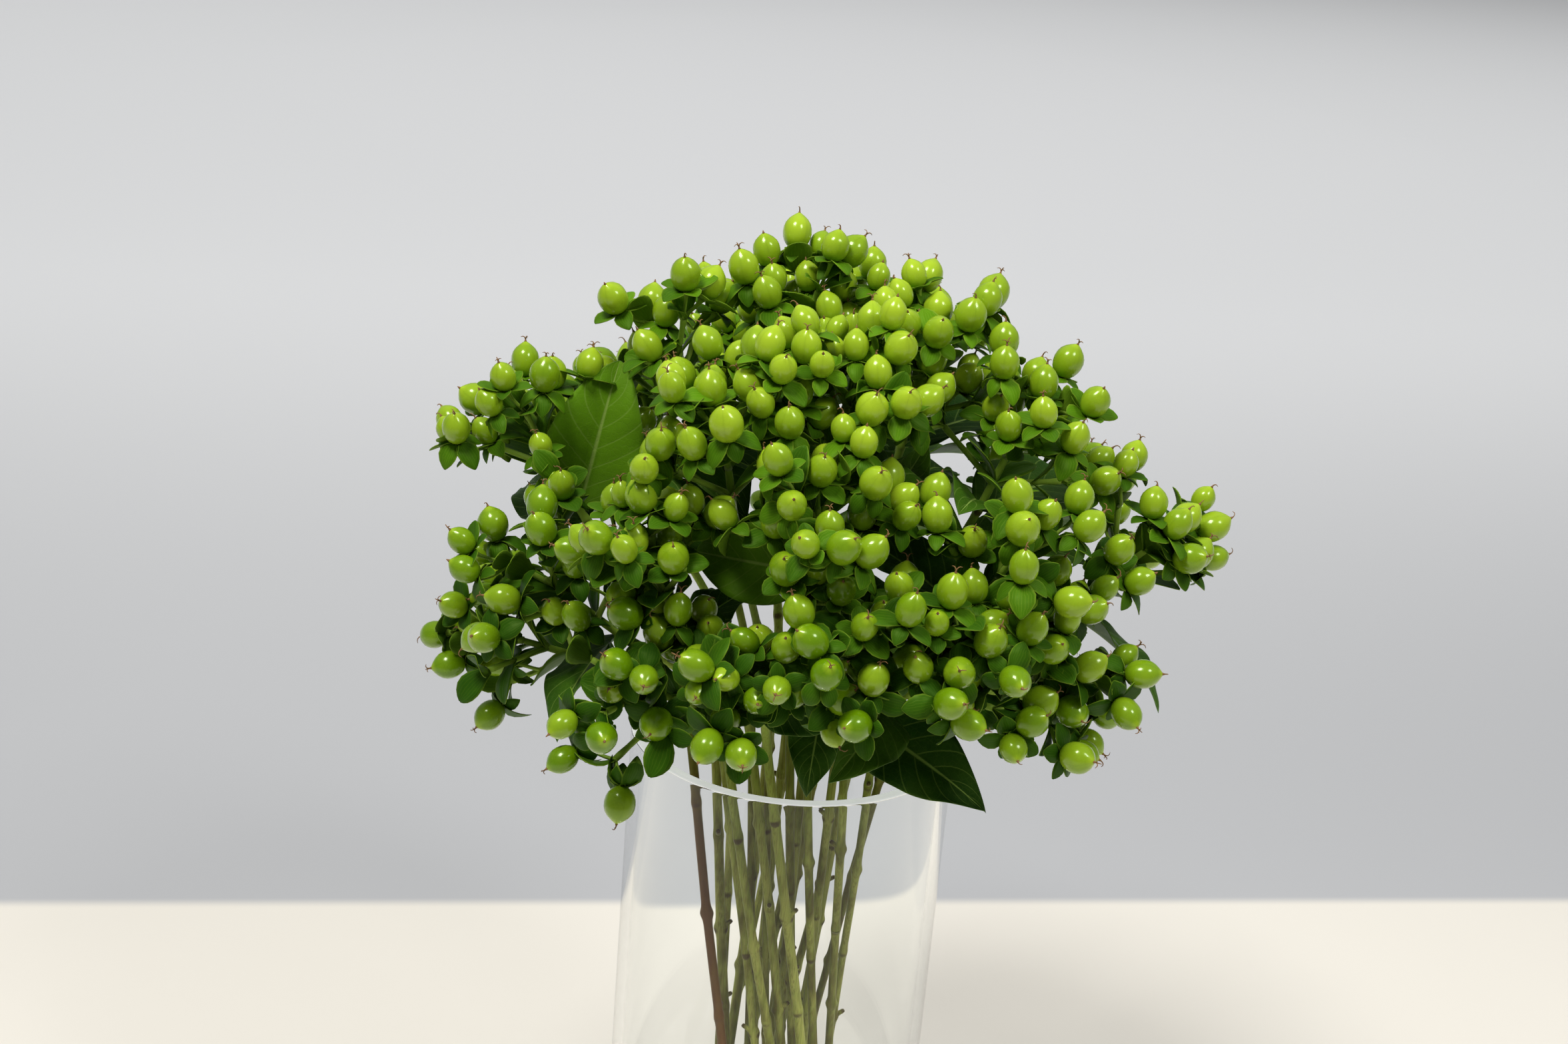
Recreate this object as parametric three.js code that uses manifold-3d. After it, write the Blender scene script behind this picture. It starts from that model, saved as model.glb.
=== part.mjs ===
// Hypericum berry stems in a clear cylinder vase.
// Millimetres, +Z up, with the origin at the centre of the vase's underside.
//
// Twenty-three cut stems stand in the vase. Their feet are spread over its floor, they cross like the rods
// of a hyperboloid, and they fan out above the rim. Each stem ends in a cyme: one berry at the end of its
// axis, and three pairs of branches with three stalked berries at each tip. The first two pairs carry another
// berry part of the way along. Under every berry sits a calyx of five sepals, and ovate leaves grow below
// each cyme.
import * as THREE from "three";
import { mergeVertices } from "three/addons/utils/BufferGeometryUtils.js";
import Module from "manifold-3d";

const wasm = await Module();
wasm.setup();

// ---------------------------------------------------------------- driving dimensions

const VASE = { radius: 65, wall: 4.5, height: 260, floor: 9, edge: 1, sides: 36 };
const WATER_LEVEL = 62;

// What parts that rest on or in each other keep between them.
const GAP = 0.3;

// The stalks: their radii at the foot, the rim and the fork. Seen from above, each foot is its place at the
// rim, turned about the middle by `turn` radians and drawn in to `footShare`.
const STALK = { foot: 2.3, rim: 2, top: 1.6, sides: 5, turn: 1.5, footShare: 0.9 };

// At the rim the stalks copy the plan of the crowns at `share` of its size, `spacing` apart and within
// `spread` of the middle.
const RIM_PLAN = { share: 0.28, spacing: 15, spread: 46, rounds: 200, home: 0.03, push: 0.4 };

const UP = new THREE.Vector3(0, 0, 1);

// The point that the cymes fan out from. The high ones turn up besides: not at all at the height `low`, and
// by `share` of a whole upward step from the height `high` on.
const FOCUS = new THREE.Vector3(0, 5, 262);
const AXIS_LIFT = { low: 320, high: 400, share: 0.5 };

// The middle of each stem's berry head.
const CROWNS = [
  [-10, 28, 440],
  [-62, 14, 424],
  [40, 2, 436],
  [80, -18, 416],
  [-36, -58, 414],
  [10, -40, 428],
  [80, -72, 382],
  [136, -18, 366],
  [-116, 4, 386],
  [-106, -50, 343],
  [-126, -26, 304],
  [-64, -92, 314],
  [-60, -84, 366],
  [2, -84, 396],
  [62, -102, 346],
  [100, -74, 329],
  [-20, -112, 331],
  [20, -110, 350],
  [-88, 72, 374],
  [-30, 94, 402],
  [42, 88, 404],
  [98, 62, 372],
  [4, 126, 336],
].map((p) => new THREE.Vector3(...p));

// The cyme: its depth below the crown, and for each pair of branches how far up the axis it starts, how wide
// it opens from the axis, and how long it is.
const HEAD_DEPTH = 42;
const PAIRS = [
  { up: 0, open: 0.95, reach: 29, inner: true },
  { up: 12, open: 0.75, reach: 25, inner: true },
  { up: 22, open: 0.5, reach: 18, inner: false },
];
const AXIS_TOP = 28;
const INNER = { share: 0.55, lean: 0.25 };
const BRANCH = { root: 1.3, tip: 1.1 };
const PEDICEL = { length: 11, splay: 0.85, rise: 0.05, radius: 1, steps: 4 };

// How much the cymes vary, as the whole width of each range.
const VARIES = { turn: 0.4, open: 0.3, reach: 0.35, lean: 0.4, rise: 0.3, inner: 0.2, lift: 9 };

// A pedicel that meets a berry is bowed this far to one of so many sides.
const DETOURS = [5, 9];
const DETOUR_SIDES = 8;

// How far a branch's tip follows its berries as they settle, and how much the berries turn towards the
// direction halfway between their stem's axis and straight up.
const TIP_FOLLOWS = 0.6;
const BERRY_LIFT = 0.5;

// A berry of size 1 stands on its neck: its length, its rings above the neck, and the calyx below it.
const BERRY = { length: 14.6, smallest: 0.74, largest: 1.02 };
const BERRY_RINGS = [
  { height: 0.9, radius: 2.6, turn: 0 },
  { height: 5, radius: 6, turn: Math.PI / 5 },
  { height: 9.4, radius: 5.2, turn: 0 },
];
const CALYX = { height: -0.2, tip: 6.4, notch: 3.2 };
const SEPALS = 5;

// How far the middle of a berry of size 1 stays from another berry's, from its neck, and from a stalk, a
// branch and a pedicel, and how much further from another stem's berry and from the vase.
const ROOM = { berry: 6.4, neck: 10, stalk: 8.6, branch: 7.8, pedicel: 6.6, otherStem: 1.2, vase: 11 };
const SETTLE = { rounds: 90, neckBelow: 8, home: 0.03, berry: 0.3, neck: 0.15, rod: 0.5 };

// A stem's solid carries this many of its berries, and its leaves above this size.
const BUILT_BERRIES = 4;
const SMALL_LEAF = 0.6;

// How far the berries reach from the focus, to each side, to the front and back, and up.
const BUNCH_REACH = new THREE.Vector3(160, 145, 196);

// A leaf of size 1: its length, half its width, how far it bows and how steeply it folds along its midrib,
// and the places along it where its outline has corners.
const LEAF = { length: 64, halfWidth: 19, bow: 0.5, fold: 0.25, thickness: 0.8, runs: [0.17, 0.47, 0.8] };

// A stem's leaves grow this far below its fork, each turned on from the one before. A leaf takes the largest
// of the sizes, the first of the tilts and the first of so many turns that is clear.
const LEAF_NODES = [12, 12, 32];
const LEAF_TURN = Math.PI;
const LEAF_SIZES = [0.88, 0.76, 0.64, 0.5];
const LEAF_TILTS = [1.0, 0.75, 1.3, 0.5, 1.6];
const LEAF_TURNS = 12;

// How far a leaf stays from a stalk, a branch, a pedicel, a berry, a calyx, another leaf and the vase's rim.
const LEAF_ROOM = { stalk: 5, branch: 4.4, pedicel: 4, berry: 7.8, calyx: 6.8, leaf: 5, vase: 6 };

// The leaves that show most may hang this far below the rim, and the others end above it.
const SHOWN_LEAF_DROP = 10;
const LEAF_CLEARANCE = 26;

// Nothing beyond this reach is in a leaf's way, and its first samples may touch what it grows from.
const LEAF_REACH = 90;
const ROOT_SAMPLES = 7;

// The tip of a leaf that shows may move this far each way to find a clear place.
const TIP_SHIFTS = [0, 6, -6, 12, -12, 18, -18];

// The leaves that show most: their stem, how far below its fork they grow, where their tips are and which way
// they face.
const SHOWN_LEAVES = [
  { stem: 9, below: 6, tip: [-79, 7, 404], facing: [0, -1, 0.1] },
  { stem: 9, below: 10, tip: [-133, -3, 362], facing: [0, -0.8, 0.5] },
  { stem: 15, below: 47, tip: [73, -72, 269], facing: [0.1, -0.8, 0.6] },
  { stem: 18, below: 30, tip: [7, -80, 272], facing: [-0.1, -0.9, 0.3] },
  { stem: 14, below: 4, tip: [-42, -50, 358], facing: [-0.1, -0.9, 0.3] },
  { stem: 3, below: 38, tip: [40, -22, 391], facing: [0, -1, 0.1] },
  { stem: 7, below: 32, tip: [76, -72, 308], facing: [0.1, -0.7, 0.7] },
  { stem: 17, below: 6, tip: [-42, -88, 319], facing: [0, -0.8, 0.5] },
  { stem: 8, below: 30, tip: [96, -40, 341], facing: [0, -1, 0.3] },
  { stem: 15, below: 16, tip: [29, -86, 349], facing: [0.2, -0.9, 0] },
];

// Berries keep clear of these lines in front of leaves, by the room beside them.
const CLEARINGS = [
  { from: [-88, 3, 379], to: [-79, -82, 406], room: 26 },
  { from: [-27, -72, 358], to: [-25, -128, 380], room: 19 },
].map(({ from, to, room }) => ({ a: new THREE.Vector3(...from), b: new THREE.Vector3(...to), room }));

// ---------------------------------------------------------------- small helpers

// A repeatable draw between 0 and 1.
function seeded(seed) {
  const [factor, modulus] = [48271, 2147483647];
  let state = seed * 7919 + 104729;
  const draw = () => {
    state = (state * factor) % modulus;
    return state / modulus;
  };
  draw();
  draw();
  return draw;
}

const mix = (a, b, t) => a.clone().lerp(b, t);
const along = (p, direction, distance) => p.clone().addScaledVector(direction, distance);

// Two directions square to an axis, and to each other.
function across(axis) {
  const helper = Math.abs(axis.z) < 0.9 ? UP : new THREE.Vector3(1, 0, 0);
  const first = new THREE.Vector3().crossVectors(axis, helper).normalize();
  return [first, new THREE.Vector3().crossVectors(axis, first)];
}

// The points of a cubic that leaves a along `out` and arrives at b along `into`.
function bend(a, out, b, into, ease, steps) {
  const reach = a.distanceTo(b) * ease;
  const curve = new THREE.CubicBezierCurve3(a, along(a, out, reach), along(b, into, -reach), b);
  return curve.getPoints(steps);
}

// A direction turned from `from` towards `to`, which is square to it.
const turned = (from, to, angle) => along(from.clone().multiplyScalar(Math.cos(angle)), to, Math.sin(angle));

// The point of a segment that lies nearest to a point.
function nearestOn(p, a, b) {
  const ab = b.clone().sub(a);
  return along(a, ab, Math.min(1, Math.max(0, p.clone().sub(a).dot(ab) / ab.lengthSq())));
}

// How far a point lies from a segment.
const toSegment = (p, a, b) => nearestOn(p, a, b).distanceTo(p);

// ---------------------------------------------------------------- layout of the stalks

// Where each stalk passes the rim, as flat [x, y].
function rimPlan() {
  const { share, spacing, spread, rounds, home, push } = RIM_PLAN;
  const wanted = CROWNS.map((c) => [c.x * share, (c.y - FOCUS.y) * share]);
  let spots = wanted;
  for (let round = 0; round < rounds; round++) {
    const next = spots.map(([x, y], i) => [x + home * (wanted[i][0] - x), y + home * (wanted[i][1] - y)]);
    spots.forEach(([x, y], i) =>
      spots.forEach(([u, v], j) => {
        const gap = Math.hypot(x - u, y - v);
        if (i === j || gap >= spacing) return;
        next[i][0] += ((x - u) * push * (spacing - gap)) / gap;
        next[i][1] += ((y - v) * push * (spacing - gap)) / gap;
      }),
    );
    spots = next.map(([x, y]) => {
      const hold = Math.min(1, spread / Math.hypot(x, y));
      return [x * hold, y * hold];
    });
  }
  return spots;
}

// The centreline of a stalk: straight from its foot on the vase's floor to the rim, then bent to its fork.
function stalkLine([x, y], fork, axis) {
  const rim = new THREE.Vector3(x, y, VASE.height);
  const foot = new THREE.Vector3(x, y, 0).applyAxisAngle(UP, STALK.turn);
  foot.multiplyScalar(STALK.footShare).setZ(VASE.floor + GAP);
  return [foot, ...bend(rim, rim.clone().sub(foot).normalize(), fork, axis, 0.4, 4)];
}

// ---------------------------------------------------------------- layout of the cymes

// One stem's plan: its stalk, the branches of its cyme, and its berries before they are pushed apart.
function planStem(crown, index, spot) {
  const draw = seeded(index + 1);
  const vary = (range) => range * (draw() - 0.5);
  const height = THREE.MathUtils.clamp((crown.z - AXIS_LIFT.low) / (AXIS_LIFT.high - AXIS_LIFT.low), 0, 1);
  const axis = along(crown.clone().sub(FOCUS).normalize(), UP, AXIS_LIFT.share * height).normalize();
  const fork = along(crown, axis, -HEAD_DEPTH);
  const line = stalkLine(spot, fork, axis);
  const [first, second] = across(axis);
  const turn = draw() * Math.PI;
  const top = along(fork, axis, AXIS_TOP);
  const branches = [];
  const berries = [];
  const addBerry = (branch, tip, way, inner = false) => {
    const size = BERRY.smallest + (BERRY.largest - BERRY.smallest) * Math.sqrt(draw());
    const lift = vary(VARIES.lift);
    const centre = along(along(tip, way, PEDICEL.length + BERRY.length / 2), axis, lift);
    berries.push({ stem: index, branch, inner, tip, way, size, centre, home: centre.clone() });
  };
  PAIRS.forEach(({ up, open, reach, inner }, pair) => {
    for (let side = 0; side < 2; side++) {
      const angle = turn + pair * (Math.PI / 2) + side * Math.PI + vary(VARIES.turn);
      const out = turned(first, second, angle);
      const way = turned(axis, out, open + vary(VARIES.open));
      const start = along(fork, axis, up);
      const tip = along(start, way, reach * (1 + vary(VARIES.reach)));
      const sideways = new THREE.Vector3().crossVectors(axis, out);
      const branch = branches.push({ start, tip, way, home: tip.clone() }) - 1;
      for (let k = -1; k <= 1; k++) {
        const lean = PEDICEL.splay * k + vary(VARIES.lean);
        const rise = PEDICEL.rise + vary(VARIES.rise);
        addBerry(branch, tip, along(along(way, sideways, lean), axis, rise).normalize());
      }
      const inward = mix(axis, out, INNER.lean + vary(VARIES.inner)).normalize();
      if (inner) addBerry(branch, mix(start, tip, INNER.share), inward, true);
    }
  });
  addBerry(-1, top, axis.clone());
  return { index, axis, top, line, branches, berries, leaves: [] };
}

// Pushes the berries apart until none crowds another, a stalk, a branch or the vase.
function settle(stems) {
  const berries = stems.flatMap((s) => s.berries);
  const rods = stems.flatMap((s) => [
    ...s.line.slice(1, -1).map((a, k) => ({ a, b: s.line[k + 2], room: ROOM.stalk })),
    ...s.branches.map(({ start: a, tip: b }, branch) => ({ a, b, room: ROOM.branch, stem: s.index, branch })),
  ]);
  rods.push(...CLEARINGS);
  for (let round = 0; round < SETTLE.rounds; round++) {
    const moves = berries.map((b) => b.home.clone().sub(b.centre).multiplyScalar(SETTLE.home));
    const necks = berries.map((b) => along(b.centre, b.way, -SETTLE.neckBelow * b.size));
    berries.forEach((a, i) =>
      berries.forEach((b, j) => {
        if (i === j) return;
        const apart = ROOM.berry * (a.size + b.size) + (a.stem === b.stem ? 0 : ROOM.otherStem);
        moves[i].add(pushFrom(a.centre, b.centre, apart, SETTLE.berry));
        const off = pushFrom(a.centre, necks[j], ROOM.neck * a.size, SETTLE.neck);
        moves[i].add(off);
        moves[j].sub(off);
      }),
    );
    berries.forEach((berry, i) => {
      berry.centre.add(moves[i]);
      for (const { a, b, room, stem, branch } of rods) {
        if (stem === berry.stem && branch === berry.branch) continue;
        const nearest = nearestOn(berry.centre, a, b);
        berry.centre.add(pushFrom(berry.centre, nearest, room * berry.size, SETTLE.rod));
      }
      clearOfVase(berry.centre);
    });
  }
}

// A share of the way that a point has to move so that it stands `wanted` away from another.
function pushFrom(point, other, wanted, share) {
  const away = point.clone().sub(other);
  const gap = away.length();
  return away.multiplyScalar(gap < wanted ? (share * (wanted - gap)) / gap : 0);
}

// A berry beside the vase stays outside its wall.
function clearOfVase(centre) {
  const reach = Math.hypot(centre.x, centre.y);
  const outside = VASE.radius + ROOM.vase;
  if (centre.z >= VASE.height + ROOM.vase || reach >= outside) return;
  centre.x *= outside / reach;
  centre.y *= outside / reach;
}

// Draws each branch tip after its berries, turns the berries up a little, and lays every pedicel as a curve.
function joinUp(stem) {
  stem.branches.forEach((branch, k) => {
    const own = stem.berries.filter((b) => b.branch === k && !b.inner);
    const drift = own.reduce((sum, b) => sum.add(b.centre).sub(b.home), new THREE.Vector3());
    branch.tip = along(branch.home, drift, TIP_FOLLOWS / own.length);
  });
  for (const berry of stem.berries) {
    const branch = stem.branches[berry.branch];
    if (branch) berry.tip = berry.inner ? mix(branch.start, branch.tip, INNER.share) : branch.tip;
    const straight = berry.centre.clone().sub(berry.tip).normalize();
    berry.facing = along(straight, mix(stem.axis, UP, 0.5), BERRY_LIFT).normalize();
    berry.neck = along(berry.centre, berry.facing, (-berry.size * BERRY.length) / 2);
    berry.line = bend(berry.tip, berry.way, berry.neck, berry.facing, 0.35, PEDICEL.steps);
  }
}

// Leads each pedicel round the berries in its way, and drops the few berries that have no clear way.
function clearPedicels(stems) {
  const berries = stems.flatMap((s) => s.berries);
  for (const berry of berries) {
    const others = berries.filter((o) => o !== berry && !o.dropped);
    const crowds = (p) => others.some((o) => p.distanceTo(o.centre) < ROOM.pedicel * o.size);
    const clear = detours(berry).find((line) => !line.slice(0, -1).some(crowds));
    if (clear) berry.line = clear;
    else berry.dropped = true;
  }
  for (const stem of stems) stem.berries = stem.berries.filter((b) => !b.dropped);
}

// A berry's pedicel as it is, and bowed out to each side, a little and then more.
function detours({ line, way }) {
  const [first, second] = across(way);
  const bowed = DETOURS.flatMap((shift) =>
    Array.from({ length: DETOUR_SIDES }, (_, k) => {
      const side = turned(first, second, (2 * Math.PI * k) / DETOUR_SIDES);
      return line.map((p, step) => along(p, side, shift * Math.sin((Math.PI * step) / PEDICEL.steps)));
    }),
  );
  return [line, ...bowed];
}

// ---------------------------------------------------------------- layout of the leaves

// The point that lies `distance` back along a line of points from its end, and the line's direction there.
function backAlong(line, distance) {
  let left = distance;
  for (let k = line.length - 1; k > 0; k--) {
    const step = line[k].distanceTo(line[k - 1]);
    const way = line[k].clone().sub(line[k - 1]).normalize();
    if (left <= step) return { point: along(line[k], way, -left), way };
    left -= step;
  }
  throw new Error("the line is shorter than the distance");
}

const leafHalfWidth = (run) => LEAF.halfWidth * Math.pow(Math.sin(Math.PI * Math.pow(run, 0.7)), 0.85);

// A point of a leaf: `run` goes from its base, 0, to its tip, 1, and `side` from edge to edge, -1 to 1.
// The midrib is an arc that starts along `way` and bows away from the leaf's upper face.
function leafPoint({ base, way, face, size }, run, side) {
  const bowed = (LEAF.bow * run) / 2;
  const chord = LEAF.length * size * run * (Math.sin(bowed) / Math.max(bowed, 1e-6));
  const width = leafHalfWidth(run) * size * side;
  const lateral = new THREE.Vector3().crossVectors(way, face);
  const midrib = along(base, turned(way, face, -bowed), chord);
  return along(along(midrib, lateral, width), face, LEAF.fold * Math.abs(width));
}

// Points all over a leaf, row by row from its root to its tip.
function leafSamples(leaf) {
  const runs = [0.1, 0.2, 0.3, 0.4, 0.5, 0.6, 0.7, 0.8, 0.9];
  const sides = [-1, -2 / 3, -1 / 3, 0, 1 / 3, 2 / 3, 1];
  return [...runs.flatMap((run) => sides.map((side) => leafPoint(leaf, run, side))), leafPoint(leaf, 1, 0)];
}

// What a leaf keeps clear of: the stems' rods, the berries and their calyces, and the leaves already there.
function leafNeighbours(stems) {
  const rod = (stem, a, b, room) => ({ stem, a, b, room });
  const rods = stems.flatMap(({ index, line, branches, berries }) => [
    ...line.slice(1, -1).map((a, k) => rod(index, a, line[k + 2], LEAF_ROOM.stalk)),
    ...branches.map(({ start, tip }) => rod(index, start, tip, LEAF_ROOM.branch)),
    ...berries.map((b) => rod(index, b.line[0], b.line[2], LEAF_ROOM.pedicel)),
    ...berries.map((b) => rod(index, b.line[2], b.line[4], LEAF_ROOM.pedicel)),
  ]);
  const balls = stems.flatMap(({ berries }) => [
    ...berries.map((b) => ({ at: b.centre, room: LEAF_ROOM.berry * b.size })),
    ...berries.map((b) => ({ at: b.neck, room: LEAF_ROOM.calyx * b.size })),
  ]);
  return { rods, balls, leaves: [] };
}

// Grows the leaves that show most, and then the rest, each where it is the first of its places to be clear.
function growLeaves(stems) {
  const around = leafNeighbours(stems);
  const grow = (stem, places) => {
    const leaf = clearLeaf(stem.index, places, around);
    if (!leaf) return;
    stem.leaves.push(leaf);
    around.leaves.push(...leaf.samples.map((at, k) => ({ at, root: k < ROOT_SAMPLES ? stem.index : -1 })));
  };
  for (const { stem, below, tip, facing } of SHOWN_LEAVES) {
    const { point } = backAlong(stems[stem - 1].line, below);
    grow(stems[stem - 1], placesTowards(point, new THREE.Vector3(...tip), new THREE.Vector3(...facing)));
  }
  for (const stem of stems) {
    const draw = seeded(500 + stem.index);
    const phase = draw() * Math.PI * 2;
    for (let n = stem.leaves.length; n < LEAF_NODES.length; n++) {
      const { point, way } = backAlong(stem.line, LEAF_NODES[n]);
      grow(stem, placesAround(point, way, phase + n * LEAF_TURN));
    }
  }
}

// The leaf that reaches from a base to a tip, and others whose tips lie near it.
function placesTowards(base, goal, facing) {
  const shifts = TIP_SHIFTS.flatMap((x) =>
    TIP_SHIFTS.flatMap((y) => TIP_SHIFTS.map((z) => new THREE.Vector3(x, y, z))),
  );
  shifts.sort((a, b) => a.lengthSq() - b.lengthSq());
  return shifts.map((shift) => {
    const chord = goal.clone().add(shift).sub(base);
    const size = chord.length() / LEAF.length;
    chord.normalize();
    const square = along(facing, chord, -facing.dot(chord)).normalize();
    const way = turned(chord, square, LEAF.bow / 2);
    const face = turned(square, chord, -LEAF.bow / 2);
    return { base, way, face, size, lowest: VASE.height - SHOWN_LEAF_DROP };
  });
}

// Leaves all round a stalk, the larger and the better tilted ones first.
function placesAround(base, rise, start) {
  const [first, second] = across(rise);
  const turns = Array.from({ length: LEAF_TURNS }, (_, k) => start + (2 * Math.PI * k) / LEAF_TURNS);
  const place = (size, tilt, turn) => {
    const out = turned(first, second, turn);
    const way = turned(rise, out, tilt);
    const face = turned(rise, out, tilt - Math.PI / 2);
    return { base, way, face, size, lowest: VASE.height + LEAF_CLEARANCE };
  };
  return LEAF_SIZES.flatMap((size) =>
    LEAF_TILTS.flatMap((tilt) => turns.map((turn) => place(size, tilt, turn))),
  );
}

// The first of a leaf's places that is clear of everything, or none.
function clearLeaf(owner, places, { rods, balls, leaves }) {
  const { base } = places[0];
  const nearRods = rods.filter((r) => toSegment(base, r.a, r.b) < LEAF_REACH);
  const nearBalls = balls.filter((s) => s.at.distanceTo(base) < LEAF_REACH);
  const nearLeaves = leaves.filter((s) => s.at.distanceTo(base) < LEAF_REACH);
  const isClear = (p, k, lowest) => {
    const root = k < ROOT_SAMPLES;
    if (p.z < lowest) return false;
    const overRim = Math.hypot(p.x, p.y) < VASE.radius + LEAF_ROOM.vase;
    if (overRim && p.z < VASE.height + LEAF_ROOM.vase) return false;
    if (nearBalls.some((s) => s.at.distanceTo(p) < s.room)) return false;
    const crowded = (s) => !(root && s.root === owner) && s.at.distanceTo(p) < LEAF_ROOM.leaf;
    if (nearLeaves.some(crowded)) return false;
    return !nearRods.some((r) => !(root && r.stem === owner) && toSegment(p, r.a, r.b) < r.room);
  };
  for (const place of places) {
    const samples = leafSamples(place);
    if (samples.every((p, k) => isClear(p, k, place.lowest))) return { ...place, samples };
  }
  return null;
}

// ---------------------------------------------------------------- the whole plan

function planBunch() {
  const spots = rimPlan();
  const stems = CROWNS.map((crown, i) => planStem(crown, i, spots[i]));
  settle(stems);
  stems.forEach(joinUp);
  clearPedicels(stems);
  growLeaves(stems);
  return stems;
}

// ---------------------------------------------------------------- closed skins and solids

// Rings of points square to a line, the first one level where the line stands on something.
function ringsAlong(points, radii, sides, level = false) {
  let side = null;
  return points.map((p, k) => {
    const [before, after] = [points[Math.max(k - 1, 0)], points[Math.min(k + 1, points.length - 1)]];
    const ahead = level && k === 0 ? UP : after.clone().sub(before).normalize();
    side = side ? along(side, ahead, -side.dot(ahead)).normalize() : across(ahead)[0];
    return ring(p, ahead, side, () => radii[k], sides);
  });
}

function ring(centre, axis, side, radiusAt, sides, turn = 0) {
  const other = new THREE.Vector3().crossVectors(axis, side);
  const spoke = (i) => turned(side, other, turn + (2 * Math.PI * i) / sides);
  return Array.from({ length: sides }, (_, i) => along(centre, spoke(i), radiusAt(i)));
}

// The triangles between two rings of equal count, or of which one has two points for each of the other's.
function strip(lower, upper) {
  const faces = [];
  const count = Math.min(lower.length, upper.length);
  for (let i = 0; i < count; i++) {
    const j = (i + 1) % count;
    if (lower.length === upper.length) {
      faces.push([lower[i], lower[j], upper[i]], [lower[j], upper[j], upper[i]]);
    } else if (lower.length < upper.length) {
      const [a, b, c] = [upper[2 * i], upper[2 * i + 1], upper[(2 * i + 2) % upper.length]];
      faces.push([lower[i], b, a], [lower[i], lower[j], b], [lower[j], c, b]);
    } else {
      const [a, b, c] = [lower[2 * i], lower[2 * i + 1], lower[(2 * i + 2) % lower.length]];
      faces.push([a, b, upper[i]], [b, upper[j], upper[i]], [b, c, upper[j]]);
    }
  }
  return faces;
}

// A closed solid over a row of rings. Its ends are flat, or the last one comes to the point `tip`.
function skin(rings, tip) {
  const points = rings.flat();
  let start = 0;
  const numbered = rings.map((r) => r.map(() => start++));
  const faces = numbered.slice(1).flatMap((upper, k) => strip(numbered[k], upper));
  const first = numbered[0];
  const last = numbered[numbered.length - 1];
  for (let i = 2; i < first.length; i++) faces.push([first[0], first[i], first[i - 1]]);
  if (tip) {
    points.push(tip);
    last.forEach((a, i) => faces.push([a, last[(i + 1) % last.length], points.length - 1]));
  } else {
    for (let i = 2; i < last.length; i++) faces.push([last[0], last[i - 1], last[i]]);
  }
  return solidFrom(points, faces);
}

function solidFrom(points, faces) {
  const vertProperties = new Float32Array(points.flatMap((p) => [p.x, p.y, p.z]));
  const triVerts = new Uint32Array(faces.flat());
  return new wasm.Manifold(new wasm.Mesh({ numProp: 3, vertProperties, triVerts }));
}

// The solid of a three.js geometry, with its shared corners merged.
function solidOf(geometry) {
  geometry.deleteAttribute("normal");
  geometry.deleteAttribute("uv");
  const merged = mergeVertices(geometry, 1e-4);
  const corners = merged.getIndex().array;
  const faces = [];
  for (let i = 0; i < corners.length; i += 3) {
    const [a, b, c] = corners.slice(i, i + 3);
    if (a !== b && b !== c && c !== a) faces.push([a, b, c]);
  }
  const position = merged.getAttribute("position");
  const pointAt = (_, i) => new THREE.Vector3().fromBufferAttribute(position, i);
  return solidFrom(Array.from({ length: position.count }, pointAt), faces);
}

function meshOf(name, solid, material) {
  const { vertProperties, triVerts } = solid.getMesh();
  const geometry = new THREE.BufferGeometry();
  geometry.setAttribute("position", new THREE.BufferAttribute(vertProperties, 3));
  geometry.setIndex(new THREE.BufferAttribute(triVerts, 1));
  geometry.computeVertexNormals();
  const mesh = new THREE.Mesh(geometry, material);
  mesh.name = name;
  return mesh;
}

// ---------------------------------------------------------------- the pieces of a stem

// The radius at each point of a stalk's line, with some room around it.
function stalkRadii(room = 0) {
  const above = [0, 0.25, 0.5, 0.75, 1].map((t) => STALK.rim + (STALK.top - STALK.rim) * t);
  return [STALK.foot, ...above].map((radius) => radius + room);
}

// A pointed berry in a calyx of five sepals, at the end of the rings that carry it.
function berrySolid({ size, facing, neck }, carrier) {
  const last = carrier[carrier.length - 1];
  const towards = last[0].clone().sub(neck);
  const side = along(towards, facing, -towards.dot(facing)).normalize();
  const at = (height) => along(neck, facing, height * size);
  const calyxRadius = (i) => size * (i % 2 ? CALYX.notch : CALYX.tip);
  const calyx = ring(at(CALYX.height), facing, side, calyxRadius, 2 * SEPALS);
  const berry = BERRY_RINGS.map(({ height, radius, turn }) =>
    ring(at(height), facing, side, () => radius * size, SEPALS, turn),
  );
  return skin([...carrier, calyx, ...berry], at(BERRY.length));
}

// A pedicel's rings end just short of its berry's neck, inside the calyx.
const pedicelEnd = ({ neck, facing }) => along(neck, facing, -PEDICEL.radius);

// A stalk with the berry at its end, or with a bare end where that berry was dropped.
function stalkSolid(stem) {
  const last = stem.berries.find((b) => b.branch < 0);
  const points = [...stem.line, stem.top];
  const radii = [...stalkRadii(), BRANCH.tip];
  if (!last) return skin(ringsAlong(points, radii, STALK.sides, true));
  const all = [...points, pedicelEnd(last)];
  return berrySolid(last, ringsAlong(all, [...radii, PEDICEL.radius], STALK.sides, true));
}

// A branch of the cyme with one of its berries.
function branchSolid(berry, { start, tip }) {
  const radii = [BRANCH.root, BRANCH.tip, PEDICEL.radius];
  return berrySolid(berry, ringsAlong([start, tip, pedicelEnd(berry)], radii, SEPALS));
}

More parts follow.
